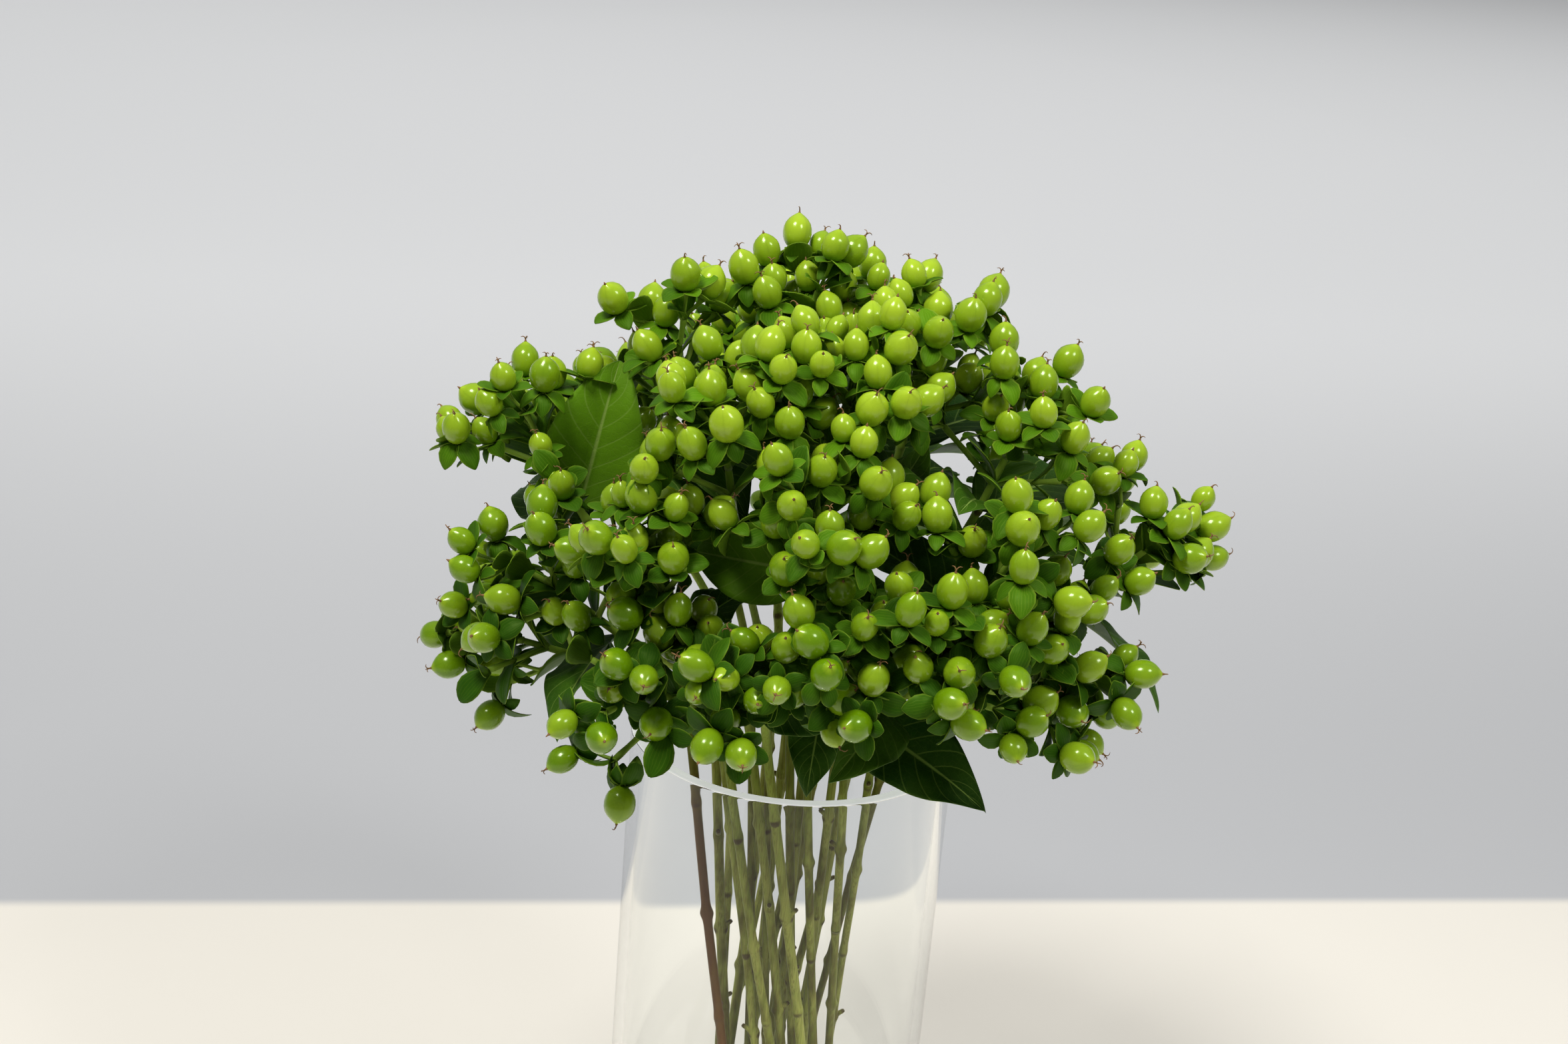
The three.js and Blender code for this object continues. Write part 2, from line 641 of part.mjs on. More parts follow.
// A leaf blade, folded along its midrib. Both faces are split into the same triangles.
function leafSolid(leaf) {
  const rows = LEAF.runs.map((run) => [-1, 0, 1].map((side) => leafPoint(leaf, run, side)));
  const middle = [leafPoint(leaf, 0, 0), ...rows.flat(), leafPoint(leaf, 1, 0)];
  const count = middle.length;
  const tip = count - 1;
  const [left, mid, right] = [0, 1, 2].map((k) => rows.map((_, row) => 1 + 3 * row + k));
  const last = rows.length - 1;
  const faces = [
    [0, right[0], mid[0]],
    [0, mid[0], left[0]],
    [left[last], mid[last], tip],
    [mid[last], right[last], tip],
  ];
  for (let k = 0; k < last; k++) {
    faces.push([left[k], mid[k], left[k + 1]], [mid[k], mid[k + 1], left[k + 1]]);
    faces.push([mid[k], right[k], right[k + 1]], [mid[k], right[k + 1], mid[k + 1]]);
  }
  const outline = [0, ...right, tip, ...left.reverse()];
  const offset = (distance) => middle.map((p) => along(p, leaf.face, distance));
  const points = [...offset(LEAF.thickness / 2), ...offset(-LEAF.thickness / 2)];
  const under = faces.map(([a, b, c]) => [a + count, c + count, b + count]);
  const edge = outline.flatMap((a, k) => {
    const b = outline[(k + 1) % outline.length];
    return [
      [a + count, b + count, b],
      [a + count, b, a],
    ];
  });
  return solidFrom(points, [...faces, ...under, ...edge]);
}

const overlaps = (a, b) => !a.intersect(b).isEmpty();

// How near a point comes to one of the bunch's six sides, as a share of the way from the focus.
function outness(point) {
  const { x, y, z } = point.clone().sub(FOCUS).divide(BUNCH_REACH);
  return Math.max(Math.abs(x), Math.abs(y), z);
}

// Fuses each stem into one solid, with its large leaves and a few of its berries: the one at its end, the
// furthest out of the rest, and then always the one farthest from those it has. Each grows on a branch of its
// own and is clear of the other stems.
function stemSolids(stems) {
  const solids = stems.map((stem) => {
    const leaves = stem.leaves.filter((leaf) => leaf.size > SMALL_LEAF);
    return wasm.Manifold.union([stalkSolid(stem), ...leaves.map(leafSolid)]);
  });
  stems.forEach((stem, index) => {
    const built = stem.berries.filter((b) => b.branch < 0);
    const left = stem.berries.filter((b) => b.branch >= 0 && !b.inner);
    const apart = (berry) => Math.min(...built.map((b) => b.centre.distanceTo(berry.centre)));
    const rank = (berry) => (built.length > 1 ? apart(berry) : outness(berry.centre));
    while (built.length < BUILT_BERRIES && left.length) {
      left.sort((a, b) => rank(a) - rank(b));
      const berry = left.pop();
      if (built.some((b) => b.branch === berry.branch)) continue;
      const solid = branchSolid(berry, stem.branches[berry.branch]);
      if (solids.some((other, k) => k !== index && overlaps(solid, other))) continue;
      solids[index] = solids[index].add(solid);
      built.push(berry);
    }
  });
  return solids;
}

// ---------------------------------------------------------------- the vase and its water

function vaseSolid() {
  const inner = VASE.radius - VASE.wall;
  const profile = [
    [0, 0],
    [VASE.radius - VASE.edge, 0],
    [VASE.radius, VASE.edge],
    [VASE.radius, VASE.height - VASE.edge],
    [VASE.radius - VASE.edge, VASE.height],
    [inner + VASE.edge, VASE.height],
    [inner, VASE.height - VASE.edge],
    [inner, VASE.floor],
    [0, VASE.floor],
  ].map(([x, y]) => new THREE.Vector2(x, y));
  return solidOf(new THREE.LatheGeometry(profile, VASE.sides).rotateX(Math.PI / 2));
}

// The water stands a gap clear of the glass and of each stalk.
function waterSolid(stems) {
  const depth = WATER_LEVEL - VASE.floor - GAP;
  const radius = VASE.radius - VASE.wall - GAP;
  const body = new THREE.CylinderGeometry(radius, radius, depth, VASE.sides).rotateX(Math.PI / 2);
  const solid = solidOf(body.translate(0, 0, VASE.floor + GAP + depth / 2));
  const room = GAP / Math.cos(Math.PI / STALK.sides);
  const holes = stems.map((stem) => {
    const rings = ringsAlong(stem.line, stalkRadii(room), STALK.sides, true).slice(0, 2);
    return skin([rings[0].map((p) => along(p, UP, -2 * GAP)), ...rings]);
  });
  return solid.subtract(wasm.Manifold.union(holes));
}

// ---------------------------------------------------------------- the whole object

const material = (color, roughness, opacity = 1) =>
  new THREE.MeshStandardMaterial({ color, roughness, metalness: 0, opacity, transparent: opacity < 1 });

const stems = planBunch();
const group = new THREE.Group();
group.add(meshOf("vase", vaseSolid(), material("#dfe6e4", 0.05, 0.3)));
group.add(meshOf("water", waterSolid(stems), material("#cfdcdc", 0.02, 0.4)));
stemSolids(stems).forEach((solid, index) => {
  const number = String(index + 1).padStart(2, "0");
  group.add(meshOf(`berry_stem_${number}`, solid, material("#7c9a2e", 0.35)));
});

export default group;
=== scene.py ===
"""Hypericum berry stems in a clear cylinder vase.

The layout is worked out in millimetres, in the same way as for the stems' solids, so that every fine stem stands
where its solid does. The meshes are made in metres.
"""

import math
from types import SimpleNamespace

import bpy
import numpy as np
from bpy.props import FloatProperty, FloatVectorProperty, IntProperty, PointerProperty
from bpy.types import Operator, Panel, PropertyGroup
from mathutils import Matrix, Vector


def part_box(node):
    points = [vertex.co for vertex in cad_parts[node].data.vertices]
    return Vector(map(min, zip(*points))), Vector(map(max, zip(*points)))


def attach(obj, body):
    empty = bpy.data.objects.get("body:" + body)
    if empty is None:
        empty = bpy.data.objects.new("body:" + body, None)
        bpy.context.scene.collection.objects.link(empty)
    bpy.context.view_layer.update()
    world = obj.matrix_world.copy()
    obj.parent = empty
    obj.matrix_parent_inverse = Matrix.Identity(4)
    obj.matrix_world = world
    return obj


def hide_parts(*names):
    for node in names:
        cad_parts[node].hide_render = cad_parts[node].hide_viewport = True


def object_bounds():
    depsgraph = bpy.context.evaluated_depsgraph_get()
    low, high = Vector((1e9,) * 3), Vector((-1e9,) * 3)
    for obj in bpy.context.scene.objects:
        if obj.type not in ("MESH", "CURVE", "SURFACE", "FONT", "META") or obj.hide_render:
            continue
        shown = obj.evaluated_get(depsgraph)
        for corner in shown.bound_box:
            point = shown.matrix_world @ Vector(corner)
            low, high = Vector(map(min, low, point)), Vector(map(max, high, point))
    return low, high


bl_info = {
    "name": "Hypericum Berry Stems",
    "version": (1, 0, 0),
    "blender": (4, 5, 0),
    "location": "View3D > Sidebar > Hypericum",
    "description": "Builds cut hypericum stems with their berries in a clear cylinder vase",
    "category": "Add Mesh",
}

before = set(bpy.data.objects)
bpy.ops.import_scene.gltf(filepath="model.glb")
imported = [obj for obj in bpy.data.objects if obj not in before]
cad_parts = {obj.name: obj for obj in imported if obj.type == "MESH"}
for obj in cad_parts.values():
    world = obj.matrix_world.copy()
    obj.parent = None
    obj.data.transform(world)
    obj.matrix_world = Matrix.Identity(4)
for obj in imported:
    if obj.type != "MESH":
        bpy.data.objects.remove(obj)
CAD_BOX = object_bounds()
VASE_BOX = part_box("vase")
WATER_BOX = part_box("water")

MM = 0.001
UP = np.array([0.0, 0.0, 1.0])

# ---------------------------------------------------------------- the layout's dimensions, in millimetres

VASE_RADIUS = 65
VASE_HEIGHT = 260
VASE_FLOOR = 9
GAP = 0.3
FOOT_RADIUS, RIM_RADIUS, TOP_RADIUS = 2.3, 2.0, 1.6
STALK_TURN, FOOT_SHARE = 1.5, 0.9
RIM_SHARE, RIM_SPACING, RIM_SPREAD, RIM_ROUNDS, RIM_HOME, RIM_PUSH = 0.28, 15, 46, 200, 0.03, 0.4
FOCUS = np.array([0.0, 5.0, 262.0])

# The middle of each stem's berry head.
CROWNS = np.array(
    [
        (-10, 28, 440), (-62, 14, 424), (40, 2, 436), (80, -18, 416), (-36, -58, 414), (10, -40, 428),
        (80, -72, 382), (136, -18, 366), (-116, 4, 386), (-106, -50, 343), (-126, -26, 304), (-64, -92, 314),
        (-60, -84, 366), (2, -84, 396), (62, -102, 346), (100, -74, 329), (-20, -112, 331), (20, -110, 350),
        (-88, 72, 374), (-30, 94, 402), (42, 88, 404), (98, 62, 372), (4, 126, 336),
    ],
    float,
)

# Each pair of branches: how far up the axis it starts, how wide it opens, its length, and if it has inner berries.
PAIRS = ((0, 0.95, 29, True), (12, 0.75, 25, True), (22, 0.5, 18, False))
HEAD_DEPTH, AXIS_TOP, AXIS_LIFT = 42, 28, 0.5
LOW_HEAD, HIGH_HEAD = 320, 400
INNER_SHARE, INNER_LEAN = 0.55, 0.25
BRANCH_ROOT, BRANCH_TIP = 1.3, 1.1
PEDICEL_LENGTH, PEDICEL_SPLAY, PEDICEL_RISE, PEDICEL_STEPS = 11, 0.85, 0.05, 4
VARIES = {"turn": 0.4, "open": 0.3, "reach": 0.35, "lean": 0.4, "rise": 0.3, "inner": 0.2, "lift": 9}
DETOURS, DETOUR_SIDES = (5, 9), 8
TIP_FOLLOWS, BERRY_LIFT = 0.6, 0.5
BERRY_LENGTH, SMALLEST, LARGEST = 14.6, 0.74, 1.02

# How far the middle of a berry of size 1 stays from what is round it, and how it is moved there.
ROOM = {"berry": 6.4, "neck": 10, "stalk": 8.6, "branch": 7.8, "pedicel": 6.6, "other_stem": 1.2, "vase": 11}
SETTLE = {"rounds": 90, "neck_below": 8, "home": 0.03, "berry": 0.3, "neck": 0.15, "rod": 0.5}

LEAF_LENGTH, LEAF_HALF_WIDTH, LEAF_BOW, LEAF_FOLD = 64, 19, 0.5, 0.25
LEAF_NODES, LEAF_TURN, LEAF_TURNS = (12, 12, 32), math.pi, 12
LEAF_SIZES, LEAF_TILTS = (0.88, 0.76, 0.64, 0.5), (1.0, 0.75, 1.3, 0.5, 1.6)
LEAF_ROOM = {"stalk": 5, "branch": 4.4, "pedicel": 4, "berry": 7.8, "calyx": 6.8, "leaf": 5, "vase": 6}
SHOWN_LEAF_DROP, LEAF_CLEARANCE, LEAF_REACH, ROOT_SAMPLES = 10, 26, 90, 7
TIP_SHIFTS = (0, 6, -6, 12, -12, 18, -18)

# A leaf's outline: its width as a share, how far its widest part moves, and how full it is.
POINTED_OUTLINE, ROUND_OUTLINE = (1, 0.7, 0.85), (1.08, 0.8, 0.6)

# The leaves that show most: their stem, how far below its fork they grow, where their tips are and what they face.
SHOWN_LEAVES = (
    (9, 6, (-79, 7, 404), (0, -1, 0.1)),
    (9, 10, (-133, -3, 362), (0, -0.8, 0.5)),
    (15, 47, (73, -72, 269), (0.1, -0.8, 0.6)),
    (18, 30, (7, -80, 272), (-0.1, -0.9, 0.3)),
    (14, 4, (-42, -50, 358), (-0.1, -0.9, 0.3)),
    (3, 38, (40, -22, 391), (0, -1, 0.1)),
    (7, 32, (76, -72, 308), (0.1, -0.7, 0.7)),
    (17, 6, (-42, -88, 319), (0, -0.8, 0.5)),
    (8, 30, (96, -40, 341), (0, -1, 0.3)),
    (15, 16, (29, -86, 349), (0.2, -0.9, 0)),
)

# How far the bunch reaches from its focus, and how many berries of each stem are always kept.
BUNCH_REACH, KEPT_BERRIES = np.array([160, 145, 196], float), 4

# The share of the others that are left out anywhere, and what is added at a side, low down and left of a line.
LEFT_OUT = {"anywhere": 0.06, "aside": 0.2, "low": 0.14, "left": 0.12}
ASIDE, LOW_DOWN, LEFT_LINE = (0, 80), (350, 300), -50

# Painted light: how pale the upper sides of the leaves with round tips are painted, so that they look lit where the
# bunch shades them, by the index of each one's stem and its own.
ROUND_LEAVES_PAINTED_LIGHT = {(8, 0): 0.98, (13, 0): 0.9}

# Berries keep clear of these lines in front of leaves: each line's ends and the room beside it.
CLEARINGS = (
    ((-88, 3, 379), (-79, -82, 406), 26),
    ((-27, -72, 358), (-25, -128, 380), 19),
)

# ---------------------------------------------------------------- small helpers


def seeded(seed):
    """A repeatable draw between 0 and 1."""
    factor, modulus = 48271, 2147483647
    state = seed * 7919 + 104729

    def draw():
        nonlocal state
        state = state * factor % modulus
        return state / modulus

    draw()
    draw()
    return draw


def length(vectors):
    return np.linalg.norm(vectors, axis=-1)


def unit(vector):
    return vector / np.linalg.norm(vector)


def mix(a, b, t):
    return a + (b - a) * t


def ramp(value, start, end):
    """0 up to one value, 1 from another on, and straight between."""
    return np.clip((value - start) / (end - start), 0, 1)


def hump(value, middle, width):
    """A smooth hump, 1 in its middle."""
    return np.exp(-(((value - middle) / width) ** 2))


def round_angles(count):
    return np.arange(count) * 2 * math.pi / count


def turned(start, towards, angle):
    """A direction turned from one direction towards another, which is square to it."""
    return start * math.cos(angle) + towards * math.sin(angle)


def across(axis):
    """Two directions square to an axis, and to each other."""
    helper = UP if abs(axis[2]) < 0.9 else np.array([1.0, 0.0, 0.0])
    first = unit(np.cross(axis, helper))
    return first, np.cross(axis, first)


def bend(a, out, b, into, ease, steps):
    """The points of a cubic that leaves a along `out` and arrives at b along `into`."""
    reach = np.linalg.norm(b - a) * ease
    t = np.linspace(0, 1, steps + 1)[:, None]
    s = 1 - t
    return s**3 * a + 3 * s**2 * t * (a + out * reach) + 3 * s * t**2 * (b - into * reach) + t**3 * b


def to_segments(points, starts, ends):
    """The nearest points on segments, for every point and every segment."""
    span = ends - starts
    share = ((points[..., None, :] - starts) * span).sum(-1) / (span * span).sum(-1)
    return starts + span * np.clip(share, 0, 1)[..., None]


def push_from(points, others, wanted, share):
    """A share of the way that points have to move so that they stand `wanted` away from others."""
    away = points - others
    gap = length(away)
    return away * np.where(gap < wanted, share * (wanted - gap) / np.maximum(gap, 1e-9), 0)[..., None]


# ---------------------------------------------------------------- layout of the stalks


def rim_plan():
    """Where each stalk passes the rim, as flat [x, y]."""
    wanted = (CROWNS - FOCUS)[:, :2] * RIM_SHARE
    wanted[:, 0] = CROWNS[:, 0] * RIM_SHARE
    spots = wanted
    for _ in range(RIM_ROUNDS):
        pushes = push_from(spots[:, None], spots[None], RIM_SPACING, RIM_PUSH)
        spots = spots + RIM_HOME * (wanted - spots) + pushes.sum(1)
        spots = spots * np.minimum(1, RIM_SPREAD / length(spots))[:, None]
    return spots


def stalk_line(spot, fork, axis, steps):
    """A stalk's centreline: straight from its foot on the vase's floor to the rim, then bent to its fork."""
    rim = np.array([*spot, VASE_HEIGHT])
    cos, sin = math.cos(STALK_TURN), math.sin(STALK_TURN)
    foot = np.array([spot[0] * cos - spot[1] * sin, spot[0] * sin + spot[1] * cos, 0]) * FOOT_SHARE
    foot[2] = VASE_FLOOR + GAP
    return np.vstack([foot, bend(rim, unit(rim - foot), fork, axis, 0.4, steps)])


# ---------------------------------------------------------------- layout of the cymes


def plan_stem(crown, index, spot):
    """One stem's plan: its stalk, the branches of its cyme, and its berries before they are pushed apart."""
    draw = seeded(index + 1)

    def vary(what):
        return VARIES[what] * (draw() - 0.5)

    axis = unit(unit(crown - FOCUS) + UP * (AXIS_LIFT * ramp(crown[2], LOW_HEAD, HIGH_HEAD)))
    fork = crown - axis * HEAD_DEPTH
    first, second = across(axis)
    turn = draw() * math.pi
    stem = SimpleNamespace(
        index=index,
        axis=axis,
        fork=fork,
        top=fork + axis * AXIS_TOP,
        line=stalk_line(spot, fork, axis, 4),
        fine_line=stalk_line(spot, fork, axis, 24),
        branches=[],
        berries=[],
        leaves=[],
    )

    def add_berry(branch, tip, way, inner=False):
        size = SMALLEST + (LARGEST - SMALLEST) * math.sqrt(draw())
        home = tip + way * (PEDICEL_LENGTH + BERRY_LENGTH / 2) + axis * vary("lift")
        berry = SimpleNamespace(stem=index, branch=branch, inner=inner, tip=tip, way=way, size=size, home=home)
        stem.berries.append(berry)

    for pair, (up, opened, reach, inner) in enumerate(PAIRS):
        for side in range(2):
            out = turned(first, second, turn + pair * math.pi / 2 + side * math.pi + vary("turn"))
            way = turned(axis, out, opened + vary("open"))
            start = fork + axis * up
            tip = start + way * (reach * (1 + vary("reach")))
            sideways = np.cross(axis, out)
            branch = len(stem.branches)
            stem.branches.append(SimpleNamespace(start=start, tip=tip, way=way, home=tip, side=sideways))
            for k in (-1, 0, 1):
                lean = PEDICEL_SPLAY * k + vary("lean")
                rise = PEDICEL_RISE + vary("rise")
                add_berry(branch, tip, unit(way + sideways * lean + axis * rise))
            inward = unit(mix(axis, out, INNER_LEAN + vary("inner")))
            if inner:
                add_berry(branch, mix(start, tip, INNER_SHARE), inward, True)
    add_berry(-1, stem.top, axis)
    return stem


def settle(stems):
    """Pushes the berries apart until none crowds another, a stalk, a branch or the vase."""
    berries = [b for s in stems for b in s.berries]
    home = np.array([b.home for b in berries])
    way = np.array([b.way for b in berries])
    size = np.array([b.size for b in berries])
    stem = np.array([b.stem for b in berries])
    branch = np.array([b.branch for b in berries])
    apart = ROOM["berry"] * (size[:, None] + size) + ROOM["other_stem"] * (stem[:, None] != stem)
    np.fill_diagonal(apart, 0)
    from_neck = ROOM["neck"] * np.repeat(size[:, None], len(berries), 1)
    np.fill_diagonal(from_neck, 0)
    rods = []
    for s in stems:
        rods += [(a, b, ROOM["stalk"], np.ones(len(berries), bool)) for a, b in zip(s.line[1:-1], s.line[2:])]
        for k, b in enumerate(s.branches):
            rods.append((b.start, b.tip, ROOM["branch"], ~((stem == s.index) & (branch == k))))
    rods += [(np.array(a), np.array(b), room, np.ones(len(berries), bool)) for a, b, room in CLEARINGS]
    centre = home.copy()
    for _ in range(SETTLE["rounds"]):
        moves = (home - centre) * SETTLE["home"]
        moves += push_from(centre[:, None], centre[None], apart, SETTLE["berry"]).sum(1)
        necks = centre - way * (SETTLE["neck_below"] * size)[:, None]
        off = push_from(centre[:, None], necks[None], from_neck, SETTLE["neck"])
        centre = centre + moves + off.sum(1) - off.sum(0)
        for a, b, room, others in rods:
            nearest = to_segments(centre, a[None], b[None])[:, 0]
            centre += push_from(centre, nearest, room * size, SETTLE["rod"]) * others[:, None]
        reach = length(centre[:, :2])
        outside = VASE_RADIUS + ROOM["vase"]
        low = (centre[:, 2] < VASE_HEIGHT + ROOM["vase"]) & (reach < outside)
        centre[low, :2] *= (outside / reach[low])[:, None]
    for berry, place in zip(berries, centre):
        berry.centre = place


def join_up(stem):
    """Draws each branch tip after its berries, turns the berries up a little, and lays every pedicel as a curve."""
    for k, branch in enumerate(stem.branches):
        own = [b for b in stem.berries if b.branch == k and not b.inner]
        branch.tip = branch.home + sum(b.centre - b.home for b in own) * (TIP_FOLLOWS / len(own))
    for berry in stem.berries:
        if berry.branch >= 0:
            branch = stem.branches[berry.branch]
            berry.tip = mix(branch.start, branch.tip, INNER_SHARE) if berry.inner else branch.tip
        berry.facing = unit(unit(berry.centre - berry.tip) + mix(stem.axis, UP, 0.5) * BERRY_LIFT)
        berry.neck = berry.centre - berry.facing * (berry.size * BERRY_LENGTH / 2)
        berry.bow = np.zeros(3)
        berry.line = pedicel_line(berry, PEDICEL_STEPS)


def pedicel_line(berry, steps):
    line = bend(berry.tip, berry.way, berry.neck, berry.facing, 0.35, steps)
    return line + berry.bow * np.sin(math.pi * np.linspace(0, 1, steps + 1))[:, None]


def clear_pedicels(stems):
    """Leads each pedicel round the berries in its way, and drops the few berries that have no clear way."""
    berries = [b for s in stems for b in s.berries]
    centres = np.array([b.centre for b in berries])
    rooms = np.array([b.size for b in berries]) * ROOM["pedicel"]
    there = np.ones(len(berries), bool)
    for k, berry in enumerate(berries):
        others = there.copy()
        others[k] = False
        first, second = across(berry.way)
        bows = [np.zeros(3)]
        for shift in DETOURS:
            bows += [turned(first, second, turn) * shift for turn in round_angles(DETOUR_SIDES)]
        for bow in bows:
            berry.bow = bow
            line = pedicel_line(berry, PEDICEL_STEPS)
            gaps = length(line[:-1, None] - centres[others])
            if not (gaps < rooms[others]).any():
                berry.line = line
                break
        else:
            there[k] = False
        berry.clear = there[k]
    for stem in stems:
        stem.berries = [b for b in stem.berries if b.clear]


# ---------------------------------------------------------------- layout of the leaves


def back_along(line, distance):
    """The point that lies `distance` back along a line of points from its end, and the line's direction there."""
    left = distance
    for a, b in zip(line[-2::-1], line[:0:-1]):
        step = np.linalg.norm(b - a)
        way = unit(b - a)
        if left <= step:
            return b - way * left, way
        left -= step
    raise ValueError("the line is shorter than the distance")


def leaf_half_width(run, rounded=False):
    """Half the width of a leaf of size 1 along its run, for a pointed leaf or one with a round tip."""
    share, shift, fullness = ROUND_OUTLINE if rounded else POINTED_OUTLINE
    return LEAF_HALF_WIDTH * share * np.sin(math.pi * run**shift) ** fullness


def leaf_points(leaf, run, side, rounded=False):
    """Points of a leaf: `run` goes from its base, 0, to its tip, 1, and `side` from edge to edge, -1 to 1."""
    run, side = np.broadcast_arrays(run, side)
    bowed = LEAF_BOW * run / 2
    chord = LEAF_LENGTH * leaf.size * run * (np.sin(bowed) / np.maximum(bowed, 1e-6))
    width = leaf_half_width(np.minimum(run, 1 - 1e-12), rounded) * leaf.size * side
    lateral = np.cross(leaf.way, leaf.face)
    along = leaf.way * np.cos(bowed)[..., None] - leaf.face * np.sin(bowed)[..., None]
    midrib = leaf.base + along * chord[..., None]
    return midrib + lateral * width[..., None] + leaf.face * (LEAF_FOLD * np.abs(width))[..., None]


def leaf_samples(leaf):
    runs = np.arange(1, 10)[:, None] / 10
    sides = np.arange(-3, 4)[None] / 3
    tip = leaf_points(leaf, np.array([1.0]), np.array([0.0]))
    return np.vstack([leaf_points(leaf, runs, sides).reshape(-1, 3), tip])


def leaf_neighbours(stems):
    """What a leaf keeps clear of: the stems' rods, the berries and their calyces, and the leaves already there."""
    rods, balls = [], []
    for s in stems:
        rods += [(a, b, LEAF_ROOM["stalk"], s.index) for a, b in zip(s.line[1:-1], s.line[2:])]
        rods += [(b.start, b.tip, LEAF_ROOM["branch"], s.index) for b in s.branches]
        rods += [(b.line[i], b.line[i + 2], LEAF_ROOM["pedicel"], s.index) for i in (0, 2) for b in s.berries]
        balls += [(b.centre, LEAF_ROOM["berry"] * b.size) for b in s.berries]
        balls += [(b.neck, LEAF_ROOM["calyx"] * b.size) for b in s.berries]
    rods, balls = ([np.array(column) for column in zip(*rows)] for rows in (rods, balls))
    return SimpleNamespace(rods=rods, balls=balls, leaves=[np.zeros((0, 3)), np.zeros(0, int)])


def clear_leaf(owner, places, around):
    """The first of a leaf's places that is clear of everything, or none."""
    base = places[0].base

    def close(columns, points):
        near = length(points - base) < LEAF_REACH
        return [column[near] for column in columns]

    starts, ends, rooms, owners = close(around.rods, to_segments(base, *around.rods[:2]))
    centres, reaches = close(around.balls, around.balls[0])
    others, roots = close(around.leaves, around.leaves[0])
    for place in places:
        place.samples = samples = leaf_samples(place)
        height = samples[:, 2]
        root = (np.arange(len(samples)) < ROOT_SAMPLES)[:, None]
        over = length(samples[:, :2]) < VASE_RADIUS + LEAF_ROOM["vase"]
        if (height < place.lowest).any() or (over & (height < VASE_HEIGHT + LEAF_ROOM["vase"])).any():
            continue
        if (length(samples[:, None] - centres) < reaches).any():
            continue
        if ((length(samples[:, None] - others) < LEAF_ROOM["leaf"]) & ~(root & (roots == owner))).any():
            continue
        gaps = length(to_segments(samples, starts, ends) - samples[:, None])
        if not ((gaps < rooms) & ~(root & (owners == owner))).any():
            return place
    return None


def places_towards(base, goal, facing):
    """The leaf that reaches from a base to a tip, and others whose tips lie near it."""
    shifts = [np.array([x, y, z], float) for x in TIP_SHIFTS for y in TIP_SHIFTS for z in TIP_SHIFTS]
    shifts.sort(key=lambda shift: shift @ shift)
    places = []
    for shift in shifts:
        chord = goal + shift - base
        size = np.linalg.norm(chord) / LEAF_LENGTH
        chord = unit(chord)
        square = unit(facing - chord * (facing @ chord))
        way = turned(chord, square, LEAF_BOW / 2)
        face = turned(square, chord, -LEAF_BOW / 2)
        lowest = VASE_HEIGHT - SHOWN_LEAF_DROP
        places.append(SimpleNamespace(base=base, way=way, face=face, size=size, lowest=lowest))
    return places


def places_around(base, rise, start):
    """Leaves all round a stalk, the larger and the better tilted ones first."""
    first, second = across(rise)
    places = []
    for size in LEAF_SIZES:
        for tilt in LEAF_TILTS:
            for k in range(LEAF_TURNS):
                out = turned(first, second, start + 2 * math.pi * k / LEAF_TURNS)
                way = turned(rise, out, tilt)
                face = turned(rise, out, tilt - math.pi / 2)
                lowest = VASE_HEIGHT + LEAF_CLEARANCE
                places.append(SimpleNamespace(base=base, way=way, face=face, size=size, lowest=lowest))
    return places


def grow_leaves(stems):
    """Grows the leaves that show most, and then the rest, each where it is the first of its places to be clear."""
    around = leaf_neighbours(stems)

    def grow(stem, places):
        leaf = clear_leaf(stem.index, places, around)
        if leaf is None:
            return
        stem.leaves.append(leaf)
        roots = np.where(np.arange(len(leaf.samples)) < ROOT_SAMPLES, stem.index, -1)
        around.leaves = [np.concatenate(pair) for pair in zip(around.leaves, (leaf.samples, roots))]

    for number, below, tip, facing in SHOWN_LEAVES:
        stem = stems[number - 1]
        point, _ = back_along(stem.line, below)
        grow(stem, places_towards(point, np.array(tip, float), np.array(facing, float)))
    for stem in stems:
        phase = seeded(500 + stem.index)() * math.pi * 2
        for n in range(len(stem.leaves), len(LEAF_NODES)):
            point, way = back_along(stem.line, LEAF_NODES[n])
            grow(stem, places_around(point, way, phase + n * LEAF_TURN))


def plan_bunch():
    spots = rim_plan()
    stems = [plan_stem(crown, index, spots[index]) for index, crown in enumerate(CROWNS)]
    settle(stems)
    for stem in stems:
        join_up(stem)
    clear_pedicels(stems)
    grow_leaves(stems)
    return stems


def outness(berry):
    """How far out in the bunch a berry is, as a share of the bunch's reach."""
    x, y, z = (berry.centre - FOCUS) / BUNCH_REACH
    return max(abs(x), abs(y), z)


def kept_berries(stem):
    """The berries that a stem keeps in any case: its end one, the furthest out, and those farthest from these."""
    kept = [b for b in stem.berries if b.branch < 0]
    left = [b for b in stem.berries if b.branch >= 0 and not b.inner]
    while len(kept) < KEPT_BERRIES and left:
        if len(kept) > 1:
            left.sort(key=lambda b: min(np.linalg.norm(b.centre - other.centre) for other in kept))
        else:
            left.sort(key=outness)
        berry = left.pop()
        if all(berry.branch != other.branch for other in kept):
            kept.append(berry)
    return kept


def thin_out(stem, draw):
    """Leaves out a share of a stem's other berries, more of them at the bunch's sides and low down."""
    kept = kept_berries(stem)
    berries = []
    for berry in stem.berries:
        x, _, z = berry.centre
        share = LEFT_OUT["anywhere"] + LEFT_OUT["aside"] * ramp(abs(x), *ASIDE) + LEFT_OUT["low"] * ramp(z, *LOW_DOWN)
        if x < LEFT_LINE:
            share += LEFT_OUT["left"]
        if draw() >= share or any(berry is other for other in kept):
            berries.append(berry)
    stem.berries = berries


# ---------------------------------------------------------------- meshes


